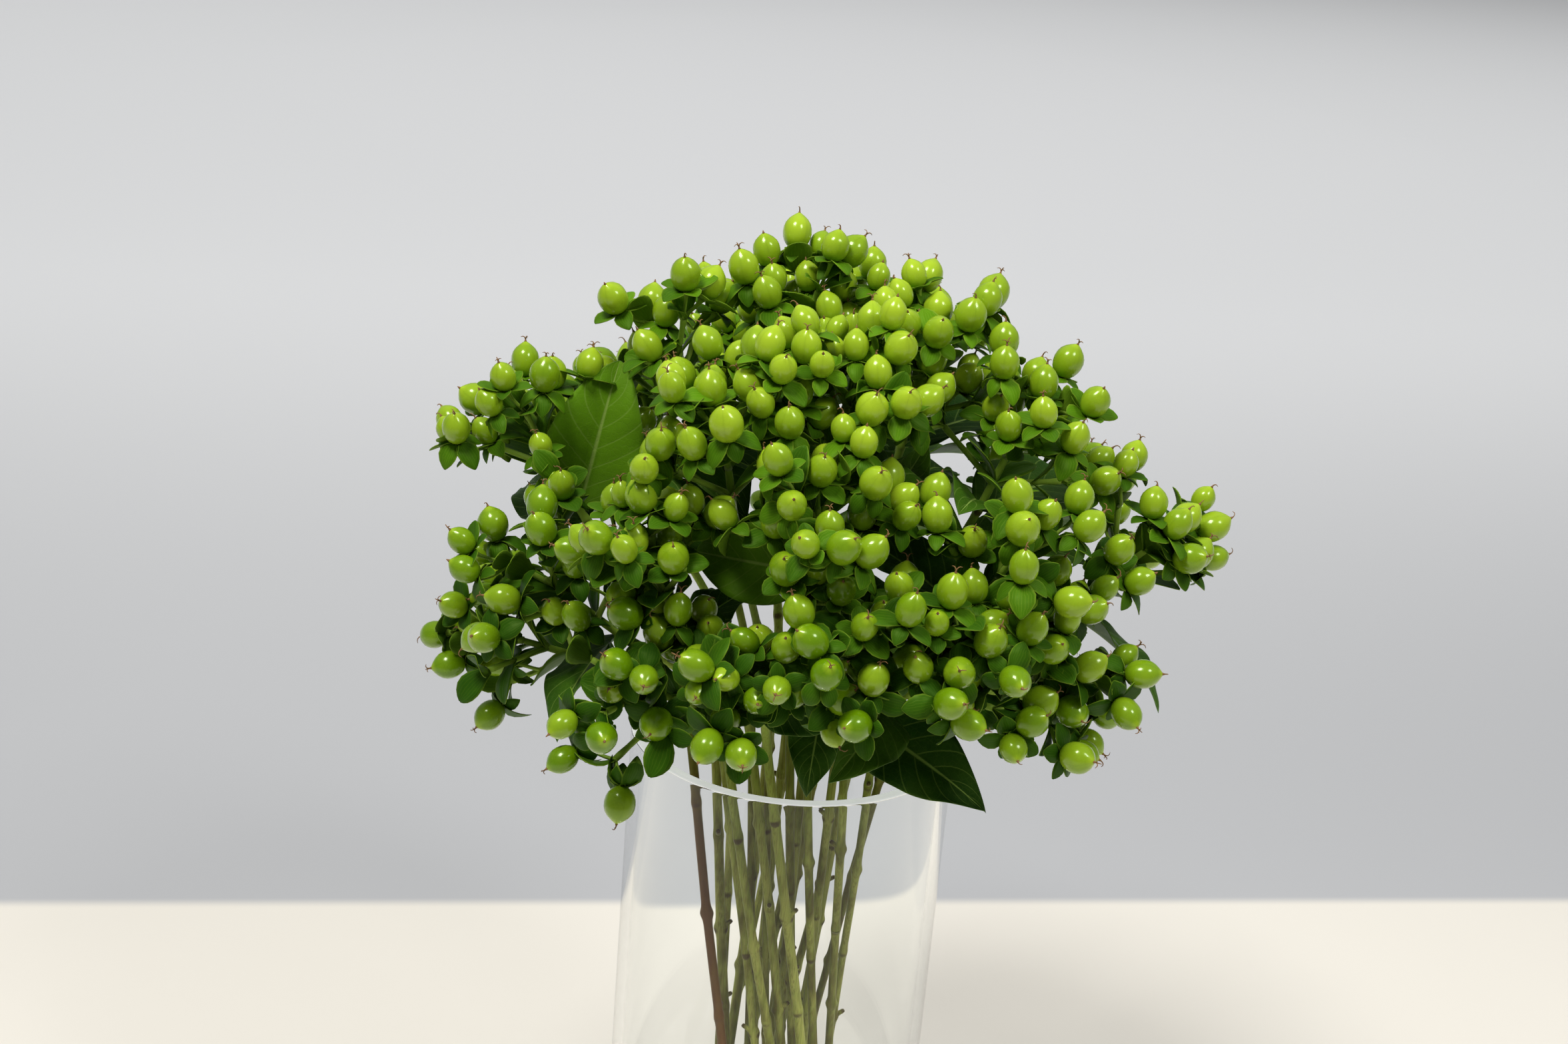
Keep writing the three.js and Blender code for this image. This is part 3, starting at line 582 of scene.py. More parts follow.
class Shape:
    """The points and faces of one mesh in millimetres, with the three marks that its materials read at each point."""

    def __init__(self):
        self.points, self.marks, self.loops, self.sizes, self.kinds = [], [], [], [], []
        self.count = 0

    def add(self, points, marks, faces, kind):
        marks = np.stack([np.broadcast_to(mark, points.shape[:-1]) for mark in marks], -1)
        self.points.append(points.reshape(-1, 3))
        self.marks.append(marks.reshape(-1, 3))
        for block in faces:
            self.loops.append((block + self.count).ravel())
            self.sizes.append(np.full(len(block), block.shape[1]))
            self.kinds.append(np.full(len(block), kind))
        self.count += len(self.points[-1])

    def piece(self, name, materials):
        """A smooth object with this shape, in metres."""
        mesh = bpy.data.meshes.new(name)
        points, loops, sizes = (np.concatenate(a) for a in (self.points, self.loops, self.sizes))
        mesh.vertices.add(len(points))
        mesh.vertices.foreach_set("co", (points * MM).astype(np.float32).ravel())
        mesh.loops.add(len(loops))
        mesh.loops.foreach_set("vertex_index", loops.astype(np.int32))
        mesh.polygons.add(len(sizes))
        mesh.polygons.foreach_set("loop_start", (np.cumsum(sizes) - sizes).astype(np.int32))
        for material in materials:
            mesh.materials.append(material)
        mesh.polygons.foreach_set("material_index", np.concatenate(self.kinds).astype(np.int32))
        mesh.update(calc_edges=True)
        mesh.shade_smooth()
        marks = mesh.attributes.new("marks", "FLOAT_VECTOR", "POINT")
        marks.data.foreach_set("vector", np.concatenate(self.marks).astype(np.float32).ravel())
        if mesh.validate():
            raise RuntimeError(f"{name} has faulty faces")
        piece = bpy.data.objects.new(name, mesh)
        bpy.context.scene.collection.objects.link(piece)
        return piece


def quads(index):
    """The four-cornered faces of a grid of points."""
    return np.stack([index[:-1, :-1], index[:-1, 1:], index[1:, 1:], index[1:, :-1]], -1).reshape(-1, 4)


def add_tube(shape, rings, marks, kind):
    """A closed tube over rows of rings."""
    rows, sides = rings.shape[:2]
    index = np.arange(rows * sides).reshape(rows, sides)
    walls = quads(np.column_stack([index, index[:, :1]]))
    shape.add(rings, marks, [walls, index[:1, ::-1], index[-1:]], kind)


def add_blade(shape, middle, face, thickness, marks, kind):
    """A thin closed blade over a grid of points. Its marks are run, side and tint, which is below zero underneath."""
    count = middle.shape[0] * middle.shape[1]
    index = np.arange(count).reshape(middle.shape[:2])
    rim = np.concatenate([index[0], index[1:, -1], index[-1, -2::-1], index[-2:0:-1, 0]])
    following = np.roll(rim, -1)
    edge = np.stack([rim + count, following + count, following, rim], -1)
    run, side, tint = marks
    tints = np.array([tint, -tint - 1]).reshape(2, 1, 1)
    points = np.stack([middle + face * thickness / 2, middle - face * thickness / 2])
    shape.add(points, (run, side, tints), [quads(index), quads(index)[:, ::-1] + count, edge], kind)


def ring_sides(points, level=False):
    """Two directions square to a line of points at each of them, without twist. The first can be kept level."""
    ahead = np.gradient(points, axis=0)
    if level:
        ahead[0] = UP
    first, second = np.empty_like(points), np.empty_like(points)
    side = None
    for k, way in enumerate(ahead):
        way = unit(way)
        side = across(way)[0] if side is None else unit(side - way * (side @ way))
        first[k], second[k] = side, np.cross(way, side)
    return first, second


def spokes(first, second, count):
    """Directions all round, from one direction towards another, which is square to it."""
    angles = round_angles(count)[:, None]
    return first * np.cos(angles) + second * np.sin(angles)


def add_rod(shape, points, radii, sides, marks, kind, level=False):
    """A closed tube round a line of points. The radii are one for each point, or one for each point and side."""
    first, second = ring_sides(points, level)
    radii = np.asarray(radii, float)
    radii = radii if radii.ndim == 2 else radii[:, None]
    rings = points[:, None] + spokes(first[:, None], second[:, None], sides) * radii[..., None]
    add_tube(shape, rings, marks, kind)


# ---------------------------------------------------------------- the pieces of a stem

STALK_SKIN, LEAF_SKIN, SEPAL_SKIN, BERRY_SKIN, STYLE_SKIN = range(5)

# How far below the fork a stalk's first nodes are, how far apart the others, and the least height of one.
FIRST_NODES, NODE_STEP, NODE_STRAY, NODE_END, LOWEST_NODE = (12, 32), 34, 24, 40, 14
NODE_ROWS, ROW_STEP, STALK_SIDES, THINNEST = np.array([-5, -3, -1.8, -0.9, 0, 0.9, 1.8, 3, 5]), 7, 12, 0.7
NODE_REACH, SCAR_REACH, KINK_REACH, KINK_FADE = 2.4, 1.5, 16, 20
WOODY_STEM, WOODY_TINT, STALK_TINTS = 10, 0.95, 0.8

BERRY_RUNS = np.array([0.004, 0.035, 0.1, 0.2, 0.32, 0.45, 0.58, 0.7, 0.81, 0.9, 0.955, 0.988])
BERRY_SIDES, BERRY_LOBES, BERRY_SKEW = 21, 0.012, 0.92
BRANCH_RUNS = np.array([0, 0.15, 0.5, 0.8, 0.93, 1])
PEDICEL_RADII = np.array([0.9, 0.78, 0.75, 0.75, 0.75, 0.78, 0.85, 1.0, 1.7])
SEPAL_RUNS = np.array([0, 0.2, 0.42, 0.64, 0.82, 0.94, 1.0])
SEPAL_SIZES, SEPAL_TRIES = (1.0, 0.8, 0.95, 0.74, 0.88), 8
SMALL_LEAF_RUNS = np.array([0, 0.15, 0.32, 0.5, 0.67, 0.82, 0.93, 1.0])
SMALL_LEAF_TILTS, SMALL_LEAF_STEPS = (0.9, 1.3, 0.6, 1.7), (0, 0.35, -0.35, 0.7, -0.7, 1.1, -1.1)
SMALL_LEAF_WIDTH, SMALL_LEAF_SHARE, BERRY_ROOM, CLEARING_ROOM, VASE_ROOM = 0.32, 0.35, 6, 15, 4
LEAF_ROWS, LEAF_COLUMNS, VEIN_SWEEP = 34, 15, 0.3

LOWEST, HIGHEST = (np.array(corner) / MM for corner in CAD_BOX)


def height_for_painted_light(height):
    """How high something stands among the berries, from 0 to 1; the tints use it to paint light on the upper parts
    and shade on the lower.
    """
    return ramp(height, 320, 430)


def stalk_nodes(line, draw):
    """How far below the fork each node of a stalk is."""
    total = length(np.diff(line, axis=0)).sum()
    nodes = [*FIRST_NODES]
    while nodes[-1] < total - NODE_END:
        nodes.append(nodes[-1] + NODE_STEP + NODE_STRAY * draw())
    return nodes


def add_stalk(shape, stem, look, draw):
    """The stalk from its cut foot to the end of its axis, with its nodes, scars and the stubs of cut shoots."""
    line = np.vstack([stem.fine_line, stem.top])
    places = np.concatenate([[0], np.cumsum(length(np.diff(line, axis=0)))])
    rim_at, fork_at, end_at = places[1], places[-2], places[-1]
    nodes = fork_at - np.array(stalk_nodes(stem.fine_line, draw))
    nodes = nodes[nodes > LOWEST_NODE]
    rows = np.concatenate([np.arange(0, end_at, ROW_STEP), (nodes[:, None] + NODE_ROWS).ravel(), [end_at]])
    rows = np.unique(np.round(rows, 2))
    points = np.stack([np.interp(rows, places, line[:, i]) for i in range(3)], 1)
    radii = np.interp(rows, [0, rim_at, fork_at, end_at], [FOOT_RADIUS, RIM_RADIUS, TOP_RADIUS, BRANCH_TIP])
    radii *= mix(mix(THINNEST, 1, draw()), 1, ramp(rows, 0, fork_at) ** 3)
    first, second = ring_sides(points, True)
    kinks = sum((-1) ** k * look.kink * hump(rows, node, KINK_REACH) for k, node in enumerate(nodes))
    kinks = kinks * ramp(rows, 4, 4 + KINK_FADE) * ramp(rows, rim_at, rim_at - KINK_FADE)
    bow = look.bow * draw() ** 0.5 * np.sin(math.pi * ramp(rows, 0, rim_at))
    points = points + first * kinks[:, None] + turned(*across(UP), 2 * math.pi * draw()) * bow[:, None]
    angles = round_angles(STALK_SIDES)
    swell = np.tile(0.035 * np.cos(2 * angles), (len(rows), 1))
    scar = np.zeros(swell.shape)
    for k, node in enumerate(nodes):
        facing = np.cos(angles - k * math.pi / 2) ** 2
        swell += hump(rows, node, NODE_REACH)[:, None] * (0.18 + 0.3 * facing)
        strength = 0.3 + 0.9 * draw()
        scar += hump(rows, node - 0.8, SCAR_REACH)[:, None] * (0.14 + 0.86 * facing) * strength
    marks = ((rows / end_at)[:, None], np.clip(scar, 0, 1), stem.tint)
    add_rod(shape, points, radii[:, None] * (1 + swell), STALK_SIDES, marks, STALK_SKIN, True)
    for k, node in enumerate(nodes[len(FIRST_NODES) :]):
        if draw() < look.stub_share:
            row = int(np.argmin(np.abs(rows - node)))
            out = turned(first[row], second[row], k * math.pi / 2 + math.pi * (draw() < 0.5))
            add_stub(shape, points[row], unit(out + UP * 0.8), 2.5 + 2.5 * draw(), stem.tint)


def add_stub(shape, base, way, reach, tint):
    """The stub of a side shoot, cut short and dried at its end."""
    runs = np.array([0, 0.5, 0.85, 1])[:, None]
    add_rod(shape, base + way * (1 + (reach + 1) * runs), (1.3, 1.0, 0.95, 0.7), 7, (0.5, runs**3, tint), STALK_SKIN)


def add_branch(shape, branch, tint):
    """A branch of the cyme, a little thicker where it forks."""
    runs = BRANCH_RUNS[:, None]
    radii = (BRANCH_ROOT + 0.3, BRANCH_ROOT, 1.15, BRANCH_TIP, 1.35, 1.25)
    add_rod(shape, mix(branch.start, branch.tip, runs), radii, 8, (0.9 + 0.1 * runs, 0, tint), STALK_SKIN)


def add_pedicel(shape, berry, tint):
    """A berry's own stalk, which widens under the calyx."""
    points = pedicel_line(berry, len(PEDICEL_RADII) - 1)
    add_rod(shape, points, PEDICEL_RADII * berry.size**0.5, 6, (1, 0, tint), STALK_SKIN)


def tip_of(berry, look):
    return berry.neck + berry.facing * (look.berry_length * berry.size)


def add_berry(shape, berry, look, draw):
    """A glossy pointed berry with three faint seams down its sides, and its dry style at the tip."""
    first, second = across(berry.facing)
    turn = draw() * math.pi
    first, second = turned(first, second, turn), turned(second, -first, turn)
    plump = look.berry_radius * (0.92 + 0.1 * draw())
    skewed = BERRY_RUNS**BERRY_SKEW
    radii = plump * (4 * skewed * (1 - skewed)) ** (0.5 + 0.42 * ramp(BERRY_RUNS, 0.6, 1))
    seam = np.where(np.arange(BERRY_SIDES) % (BERRY_SIDES // 3) == 0, 1.0, 0.0)
    lobes = 1 + BERRY_LOBES * np.cos(3 * round_angles(BERRY_SIDES) + math.pi) - look.seam_depth * seam / plump
    rings = berry.facing * (BERRY_RUNS * look.berry_length)[:, None, None]
    rings = rings + spokes(first, second, BERRY_SIDES) * (radii[:, None] * lobes)[..., None]
    add_tube(shape, berry.neck + rings * berry.size, (BERRY_RUNS[:, None], seam, berry.tint), BERRY_SKIN)
    add_style(shape, tip_of(berry, look), berry.facing, first, second, draw)


def add_style(shape, tip, facing, first, second, draw):
    """The dry brown remains of the style: a small point, and on most berries up to three curled threads."""
    heights = np.array([-0.4, 0.1, 0.5, 0.9])[:, None]
    add_rod(shape, tip + facing * heights, (0.62, 0.42, 0.28, 0.12), 6, (0, 0, draw()), STYLE_SKIN)
    threads = int(draw() * 4)
    start = draw() * math.pi
    for k in range(threads):
        out = turned(first, second, start + k * 2 * math.pi / 3)
        reach = 1.2 + 1.4 * draw()
        runs = np.linspace(0, 1, 5)[:, None]
        points = tip + facing * (0.4 + reach * np.sin(runs * 2.2) * 0.7) + out * (reach * runs**1.6)
        add_rod(shape, points, (0.27, 0.23, 0.2, 0.17, 0.1), 4, (1, 0, draw()), STYLE_SKIN)


def blade_grid(base, out, face, reach, half_width, lift, curl, fold, runs, columns):
    """The grid of a small rounded blade that leaves its base along `out`, tilted by `lift`, and curls back."""
    angles = lift - curl * (runs[:-1] + runs[1:]) / 2
    steps = (out * np.cos(angles)[:, None] + face * np.sin(angles)[:, None]) * (reach * np.diff(runs))[:, None]
    midrib = base + np.vstack([np.zeros(3), np.cumsum(steps, 0)])
    width = half_width * np.maximum(np.sin(math.pi * np.minimum(runs, 1) ** 1.05) ** 0.65, 0.1)
    width[0] = 0.35 * half_width
    wide = width[:, None] * np.linspace(-1, 1, columns)
    return midrib[:, None] + np.cross(out, face) * wide[..., None] + face * (fold * np.abs(wide))[..., None]


def add_sepal(shape, grid, face, runs, tint, look):
    marks = (runs[:, None], np.linspace(-1, 1, grid.shape[1]), tint)
    add_blade(shape, grid, face, look.sepal_thickness, marks, SEPAL_SKIN)


def inside(points, margin=0.4):
    """If points keep within the solids' box."""
    return bool((points > LOWEST + margin * (LOWEST < 0)).all() and (points < HIGHEST - margin).all())


def turn_berry(berry, look, draw):
    """Turns a berry about its middle: a high one upwards, a low one downwards, and each a little its own way."""
    first, second = across(berry.facing)
    aside = turned(first, second, 2 * math.pi * draw()) * look.stray * draw() ** 0.5
    lift = mix(-0.45, 0.6, ramp(berry.centre[2], 300, 390))
    berry.facing = unit(berry.facing + UP * lift + aside)
    berry.neck = berry.centre - berry.facing * (berry.size * BERRY_LENGTH / 2)


def keep_inside(berry, look):
    """Moves one of the outermost berries in until it keeps within the solids' box."""
    reach, tip = look.berry_radius * berry.size, tip_of(berry, look)
    low = np.minimum(np.minimum(berry.centre - reach, tip - 2.4), berry.neck - 2) - LOWEST
    high = HIGHEST - np.maximum(np.maximum(berry.centre + reach, tip + 2.8), berry.neck + 2)
    shift = np.minimum(high, 0) - np.minimum(low, 0)
    berry.centre = berry.centre + shift
    berry.neck = berry.neck + shift


def add_calyx(shape, berry, look, draw):
    """Five unequal ovate sepals that spread under a berry and bend back."""
    first, second = across(berry.facing)
    turn = draw() * math.pi * 2
    droop = look.sepal_droop + 1.2 * (draw() - 0.5)
    for k, share in enumerate(SEPAL_SIZES):
        out = turned(first, second, turn + k * 2 * math.pi / 5 + 0.2 * (draw() - 0.5))
        share *= (0.86 + 0.28 * draw()) * berry.size**0.6
        base = berry.neck + out * 0.9 - berry.facing * 0.06 * k
        lift = 0.2 - 0.5 * droop + 0.4 * (draw() - 0.5)
        curl = droop + 0.8 * (draw() - 0.3)
        for _ in range(SEPAL_TRIES):
            reach, half_width = look.sepal_length * share, look.sepal_half_width * share
            grid = blade_grid(base, out, berry.facing, reach, half_width, lift, curl, 0.3, SEPAL_RUNS, 3)
            if inside(grid):
                break
            share *= 0.85
        # Painted light and shade: sepals high in the bunch are painted paler, low ones darker.
        tint = draw() * mix(0.1, 0.7, berry.high) + 0.25 * berry.high
        add_sepal(shape, grid, berry.facing, SEPAL_RUNS, tint, look)


def small_leaf_clear(points, around):
    """If a small leaf keeps clear of the berries, the lines in front of leaves, the vase and the box's sides."""
    if (length(points[:, None] - around.centres) < around.reaches).any() or not inside(points):
        return False
    if (length(to_segments(points, around.starts, around.ends) - points[:, None]) < CLEARING_ROOM).any():
        return False
    over = length(points[:, :2]) < VASE_RADIUS + VASE_ROOM
    return not (over & (points[:, 2] < VASE_HEIGHT + VASE_ROOM)).any()


def add_small_leaf(shape, base, rise, turn, reach, look, around, draw):
    """A small leaf, turned and tilted until it is clear of what is round it, or left out."""
    first, second = across(rise)
    curl, high = 0.3 + 0.7 * draw(), height_for_painted_light(base[2])
    # Painted light and shade: small leaves high in the bunch are painted paler, low ones darker.
    tint = draw() * mix(0.15, 0.7, high) + 0.2 * high
    for tilt in SMALL_LEAF_TILTS:
        lift = math.pi / 2 - tilt + curl / 2
        for step in SMALL_LEAF_STEPS:
            out = turned(first, second, turn + step)
            half_width = reach * SMALL_LEAF_WIDTH
            grid = blade_grid(base, out, rise, reach, half_width, lift, curl, 0.25, SMALL_LEAF_RUNS, 5)
            if small_leaf_clear(grid[2:].reshape(-1, 3), around):
                square = np.cross(np.cross(rise, out), grid[-1, 2] - grid[0, 2])
                add_sepal(shape, grid, -unit(square), SMALL_LEAF_RUNS, tint, look)
                return


def add_small_leaves(shape, stem, look, around, draw):
    """Small leaves in pairs at the forks, along the branches and at their tips."""
    spots = [(mix(stem.fork, stem.top, (up + 0.5) / AXIS_TOP), stem.axis, 1.5) for up, *_ in PAIRS]
    for branch in stem.branches:
        spots.append((branch.tip, branch.way, 1.0))
        if draw() < SMALL_LEAF_SHARE:
            spots.append((mix(branch.start, branch.tip, INNER_SHARE), branch.way, 1.15))
    for base, rise, share in spots:
        turn = draw() * math.pi
        for side in range(2):
            reach = look.bract_length * share * (0.75 + 0.5 * draw())
            add_small_leaf(shape, base, rise, turn + side * math.pi, reach, look, around, draw)


def add_leaf(shape, leaf, look, draw, tint, rounded):
    """A large ovate leaf, quilted between its arching side veins, with a gently waved edge."""
    runs = np.linspace(0, 1, LEAF_ROWS)[:, None]
    if rounded:
        runs = np.sin(runs * math.pi / 2)
    sides = np.linspace(-1, 1, LEAF_COLUMNS)[None]
    grid = leaf_points(leaf, runs, sides, rounded)
    narrow = leaf_half_width(np.minimum(runs, 0.999999)) < 1.2
    thin = np.maximum(1.1 * (1 - runs / 0.1), 0.12) * sides * narrow
    grid = grid + np.cross(leaf.way, leaf.face) * thin[..., None]
    arch = np.sin(math.pi * np.clip(runs, 0, 1))
    vein = (runs - VEIN_SWEEP * np.abs(sides)) * look.veins
    quilt = look.leaf_quilt * (0.5 - 0.5 * np.cos(2 * math.pi * vein)) * arch
    quilt = quilt * np.clip(np.abs(sides) * 4, 0, 1) * (1 - 0.5 * np.abs(sides) ** 3)
    waves = 2 * math.pi * (2.2 * runs + 0.25 * np.sign(sides)) + draw() * 6.28
    wave = look.leaf_wave * np.abs(sides) ** 3 * np.sin(waves) * arch**0.5
    twist = 0.16 * (draw() - 0.5) * runs**2 * sides * LEAF_HALF_WIDTH * leaf.size
    rib = -0.5 * hump(sides * 6, 0, 1) * (1 - runs)
    dip = -look.leaf_curl * leaf.size * ramp(runs, 0.7, 1) ** 2
    grid = grid + leaf.face * (quilt + wave + twist + rib + dip)[..., None]
    add_blade(shape, grid, leaf.face, look.leaf_thickness, (runs, sides, tint), LEAF_SKIN)


# ---------------------------------------------------------------- materials


class Value:
    """A node's output, so that sums of nodes can be written with Python's own signs."""

    def __init__(self, nodes, socket):
        self.nodes, self.socket = nodes, socket

    def __add__(self, other):
        return self.nodes.maths("ADD", self, other)

    def __sub__(self, other):
        return self.nodes.maths("SUBTRACT", self, other)

    def __rsub__(self, other):
        return self.nodes.maths("SUBTRACT", other, self)

    def __mul__(self, other):
        return self.nodes.maths("MULTIPLY", self, other)

    def __pow__(self, other):
        return self.nodes.maths("POWER", self, other)

    def __abs__(self):
        return self.nodes.maths("ABSOLUTE", self)

    def fraction(self):
        return self.nodes.maths("FRACT", self)

    def negative(self):
        return self.nodes.maths("LESS_THAN", self, 0.0)

    def clamped(self):
        self.socket.node.use_clamp = True
        return self


class Nodes:
    """A material's node tree, with short ways to add nodes to it."""

    def __init__(self, name):
        self.material = bpy.data.materials.new(name)
        self.material.use_nodes = True
        self.tree = self.material.node_tree
        self.shader = self.tree.nodes["Principled BSDF"]

    def add(self, kind, inputs, **settings):
        """A node with settings, and with its inputs by their names or numbers."""
        node = self.tree.nodes.new(kind)
        for key, value in settings.items():
            setattr(node, key, value)
        for key, value in inputs.items():
            self.put(node.inputs[key], value)
        return node.outputs

    def put(self, socket, value):
        """Feeds an input with a node's output, a colour or any other constant."""
        if isinstance(value, Value):
            self.tree.links.new(value.socket, socket)
        elif socket.type == "RGBA":
            socket.default_value = (*value, 1.0)
        else:
            socket.default_value = value

    def maths(self, operation, *values):
        outputs = self.add("ShaderNodeMath", dict(enumerate(values)), operation=operation)
        return Value(self, outputs[0])

    def smooth(self, value, low, high):
        """0 below `low`, 1 above `high`, and smooth between."""
        inputs = {"Value": value, "From Min": low, "From Max": high}
        return Value(self, self.add("ShaderNodeMapRange", inputs, interpolation_type="SMOOTHSTEP")["Result"])

    def blend(self, share, a, b):
        """Mixes two colours: none of the second at 0, and all of it at 1."""
        return Value(self, self.add("ShaderNodeMix", {0: share, 6: a, 7: b}, data_type="RGBA")[2])

    def split(self, vector):
        return [Value(self, part) for part in self.add("ShaderNodeSeparateXYZ", {0: vector})]

    def marks(self):
        """The three marks that a mesh carries at each point."""
        return self.split(Value(self, self.add("ShaderNodeAttribute", {}, attribute_name="marks")["Vector"]))

    def place(self, scale=(1, 1, 1)):
        place = Value(self, self.add("ShaderNodeTexCoord", {})["Object"])
        return Value(self, self.add("ShaderNodeMapping", {"Vector": place, "Scale": scale})["Vector"])

    def noise(self, vector, scale, detail=3.0):
        inputs = {"Vector": vector, "Scale": scale, "Detail": detail, "Roughness": 0.5}
        return Value(self, self.add("ShaderNodeTexNoise", inputs)["Fac"])

    def cells(self, vector, scale, feature="DISTANCE_TO_EDGE"):
        outputs = self.add("ShaderNodeTexVoronoi", {"Vector": vector, "Scale": scale}, feature=feature)
        return Value(self, outputs["Distance"])

    def bump(self, height, distance, strength):
        inputs = {"Height": height, "Distance": distance, "Strength": strength}
        self.put(self.shader.inputs["Normal"], Value(self, self.add("ShaderNodeBump", inputs)["Normal"]))

    def finish(self, **values):
        for key, value in values.items():
            self.put(self.shader.inputs[key.replace("_", " ")], value)
        return self.material


def berry_skin(colours):
    """Waxy green skin, yellower on young berries and at the tip, with fine pale dots, painted shade at its base, and
    painted light from its tint: paler high in the bunch, deeper low down.
    """
    n = Nodes("berry skin")
    run, seam, tint = n.marks()
    place = n.place()
    share = (tint + (n.noise(place, 90, 2) - 0.5) * 0.5).clamped()
    skin = n.blend(share, colours.berry, colours.young_berry)
    # Painted shade: the base of the berry, down in its calyx, is darkened.
    skin = n.blend(n.smooth(run, 0.3, 0.0) * 0.35, skin, colours.berry_shade)
    skin = n.blend(n.smooth(run, 0.86, 0.97) * 0.45, skin, colours.young_berry)
    skin = n.blend(seam**3.0 * 0.15, skin, colours.berry_shade)
    dots = n.smooth(n.cells(place, 900, "F1"), 0.28, 0.12)
    skin = n.blend(dots * 0.1, skin, colours.young_berry)
    skin = n.blend(n.smooth(run, 0.98, 0.99), skin, colours.style)
    n.bump(n.noise(place, 700), 0.00005, 0.5)
    gloss = {"Specular_IOR_Level": 0.35, "Coat_Weight": 0.65, "Coat_Roughness": 0.15}
    rough = n.noise(place, 300, 2) * 0.18 + 0.2
    return n.finish(Base_Color=skin, Roughness=rough, Specular_Tint=colours.gleam, **gloss)


def style_skin(colours):
    """Dry brown remains of the style."""
    n = Nodes("dry style")
    grain = n.noise(n.place(), 2500)
    n.bump(grain, 0.0001, 0.6)
    return n.finish(Base_Color=n.blend(grain, colours.style, colours.dry_style), Roughness=0.75)


def side_veins(n, run, side, look):
    """1 on the arching side veins of a blade and 0 between them."""
    swept = run - abs(side) * VEIN_SWEEP
    return n.smooth(abs((swept * look.veins + 0.5).fraction() - 0.5), 0.07, 0.0)


def leaf_skin(colours, look):
    """Matte dark green with a pale midrib and side veins, and a paler underside."""
    n = Nodes("leaf skin")
    run, side, tint = n.marks()
    place = n.place()
    shade = n.noise(place, 60)
    # A tint near 1 on the leaves with round tips is painted light.
    share = (abs(tint).fraction() + (shade - 0.5) * 0.5).clamped()
    skin = n.blend(share, colours.leaf_shade, colours.leaf)
    net = n.smooth(n.cells(place, 420), 0.06, 0.0)
    skin = n.blend(net * 0.06, skin, colours.leaf_vein)
    skin = n.blend(tint.negative(), skin, colours.leaf_under)
    midrib = n.smooth(abs(side), run * -0.02 + 0.065, 0.012)
    veins = n.maths("MAXIMUM", side_veins(n, run, side, look) * 0.32, midrib * 0.85)
    skin = n.blend(veins, skin, colours.leaf_vein)
    skin = n.blend(n.smooth(abs(side), 0.95, 1.0) * 0.12, skin, colours.leaf_vein)
    n.bump(n.noise(place, 420, 4) - veins * 0.8 - net * 0.25, 0.00018, 0.7)
    gloss = {"Specular_IOR_Level": 0.2, "Specular_Tint": colours.gleam}
    return n.finish(Base_Color=skin, Roughness=shade * 0.15 + 0.42, **gloss)


def sepal_skin(colours):
    """Green blades with a pale edge and fine lengthwise veins, with painted shade that makes them darker lower down
    in the bunch and painted light that makes them paler higher up.
    """
    n = Nodes("sepal skin")
    run, side, tint = n.marks()
    place = n.place()
    # The tint carries painted light and shade by height in the bunch; the pale veins and edges grow with it.
    share = abs(tint).fraction() * 0.8 + n.noise(place, 160) * 0.2
    skin = n.blend(share, colours.sepal_shade, colours.sepal)
    spread = side * (1.25 - run * 0.4)
    lines = n.smooth(abs((spread * 4.0 + 0.5).fraction() - 0.5), 0.16, 0.0)
    pale = share * 0.5 + 0.08
    edge = n.smooth(abs(side), 0.8, 1.0)
    for light in (lines * (pale * 0.6), tint.negative() * pale, edge * (pale * 1.3)):
        skin = n.blend(light, skin, colours.sepal_edge)
    n.bump(lines * 0.6 + n.noise(place, 500), 0.00008, 0.6)
    gloss = {"Specular_IOR_Level": 0.16, "Specular_Tint": colours.gleam}
    return n.finish(Base_Color=skin, Roughness=0.45, **gloss)


def stalk_skin(colours):
    """Ridged olive stalks, yellower towards the berries, with brown scars."""
    n = Nodes("stalk skin")
    run, scar, tint = n.marks()
    ridges = n.noise(n.place((1, 1, 0.06)), 900)
    patches = n.noise(n.place((1, 1, 0.3)), 120)
    streaks = n.smooth(n.noise(n.place((1, 1, 0.04)), 2200, 2), 0.45, 0.65)
    age = patches + (tint - 0.4) * -0.28
    old = n.blend(n.smooth(age, 0.34, 0.6), colours.old_stalk, colours.grey_stalk)
    skin = n.blend(n.smooth(run, 0.5, 0.97), old, colours.young_stalk)
    skin = n.blend(n.smooth(ridges, 0.42, 0.62) * 0.3, skin, colours.sepal_edge)
    skin = n.blend(streaks * (n.smooth(run, 0.98, 0.7) * 0.45), skin, colours.old_stalk)
    woody = n.smooth(tint, 0.88, 0.92) * n.smooth(run, 0.8, 0.6)
    skin = n.blend(woody * 0.85, skin, colours.bark)
    marks = (scar * (patches * 0.8 + 0.5)).clamped()
    skin = n.blend(n.smooth(marks, 0.15, 0.7) * 0.85, skin, colours.scar)
    n.bump(ridges + scar * 0.6, 0.00025, 0.7)
    bloom = {"Sheen_Weight": 0.35, "Sheen_Roughness": 0.35, "Sheen_Tint": colours.bloom}
    return n.finish(Base_Color=skin, Roughness=0.55, Specular_IOR_Level=0.2, **bloom)


def clear_glass(tint):
    """Clear polished glass with the faintest streaks."""
    n = Nodes("clear glass")
    n.bump(n.noise(n.place((1, 1, 0.05)), 40, 2), 0.0002, 0.12)
    faint = (0.35, 0.35, 0.35)
    return n.finish(Base_Color=tint, Roughness=0.0, IOR=1.5, Transmission_Weight=1.0, Specular_Tint=faint)


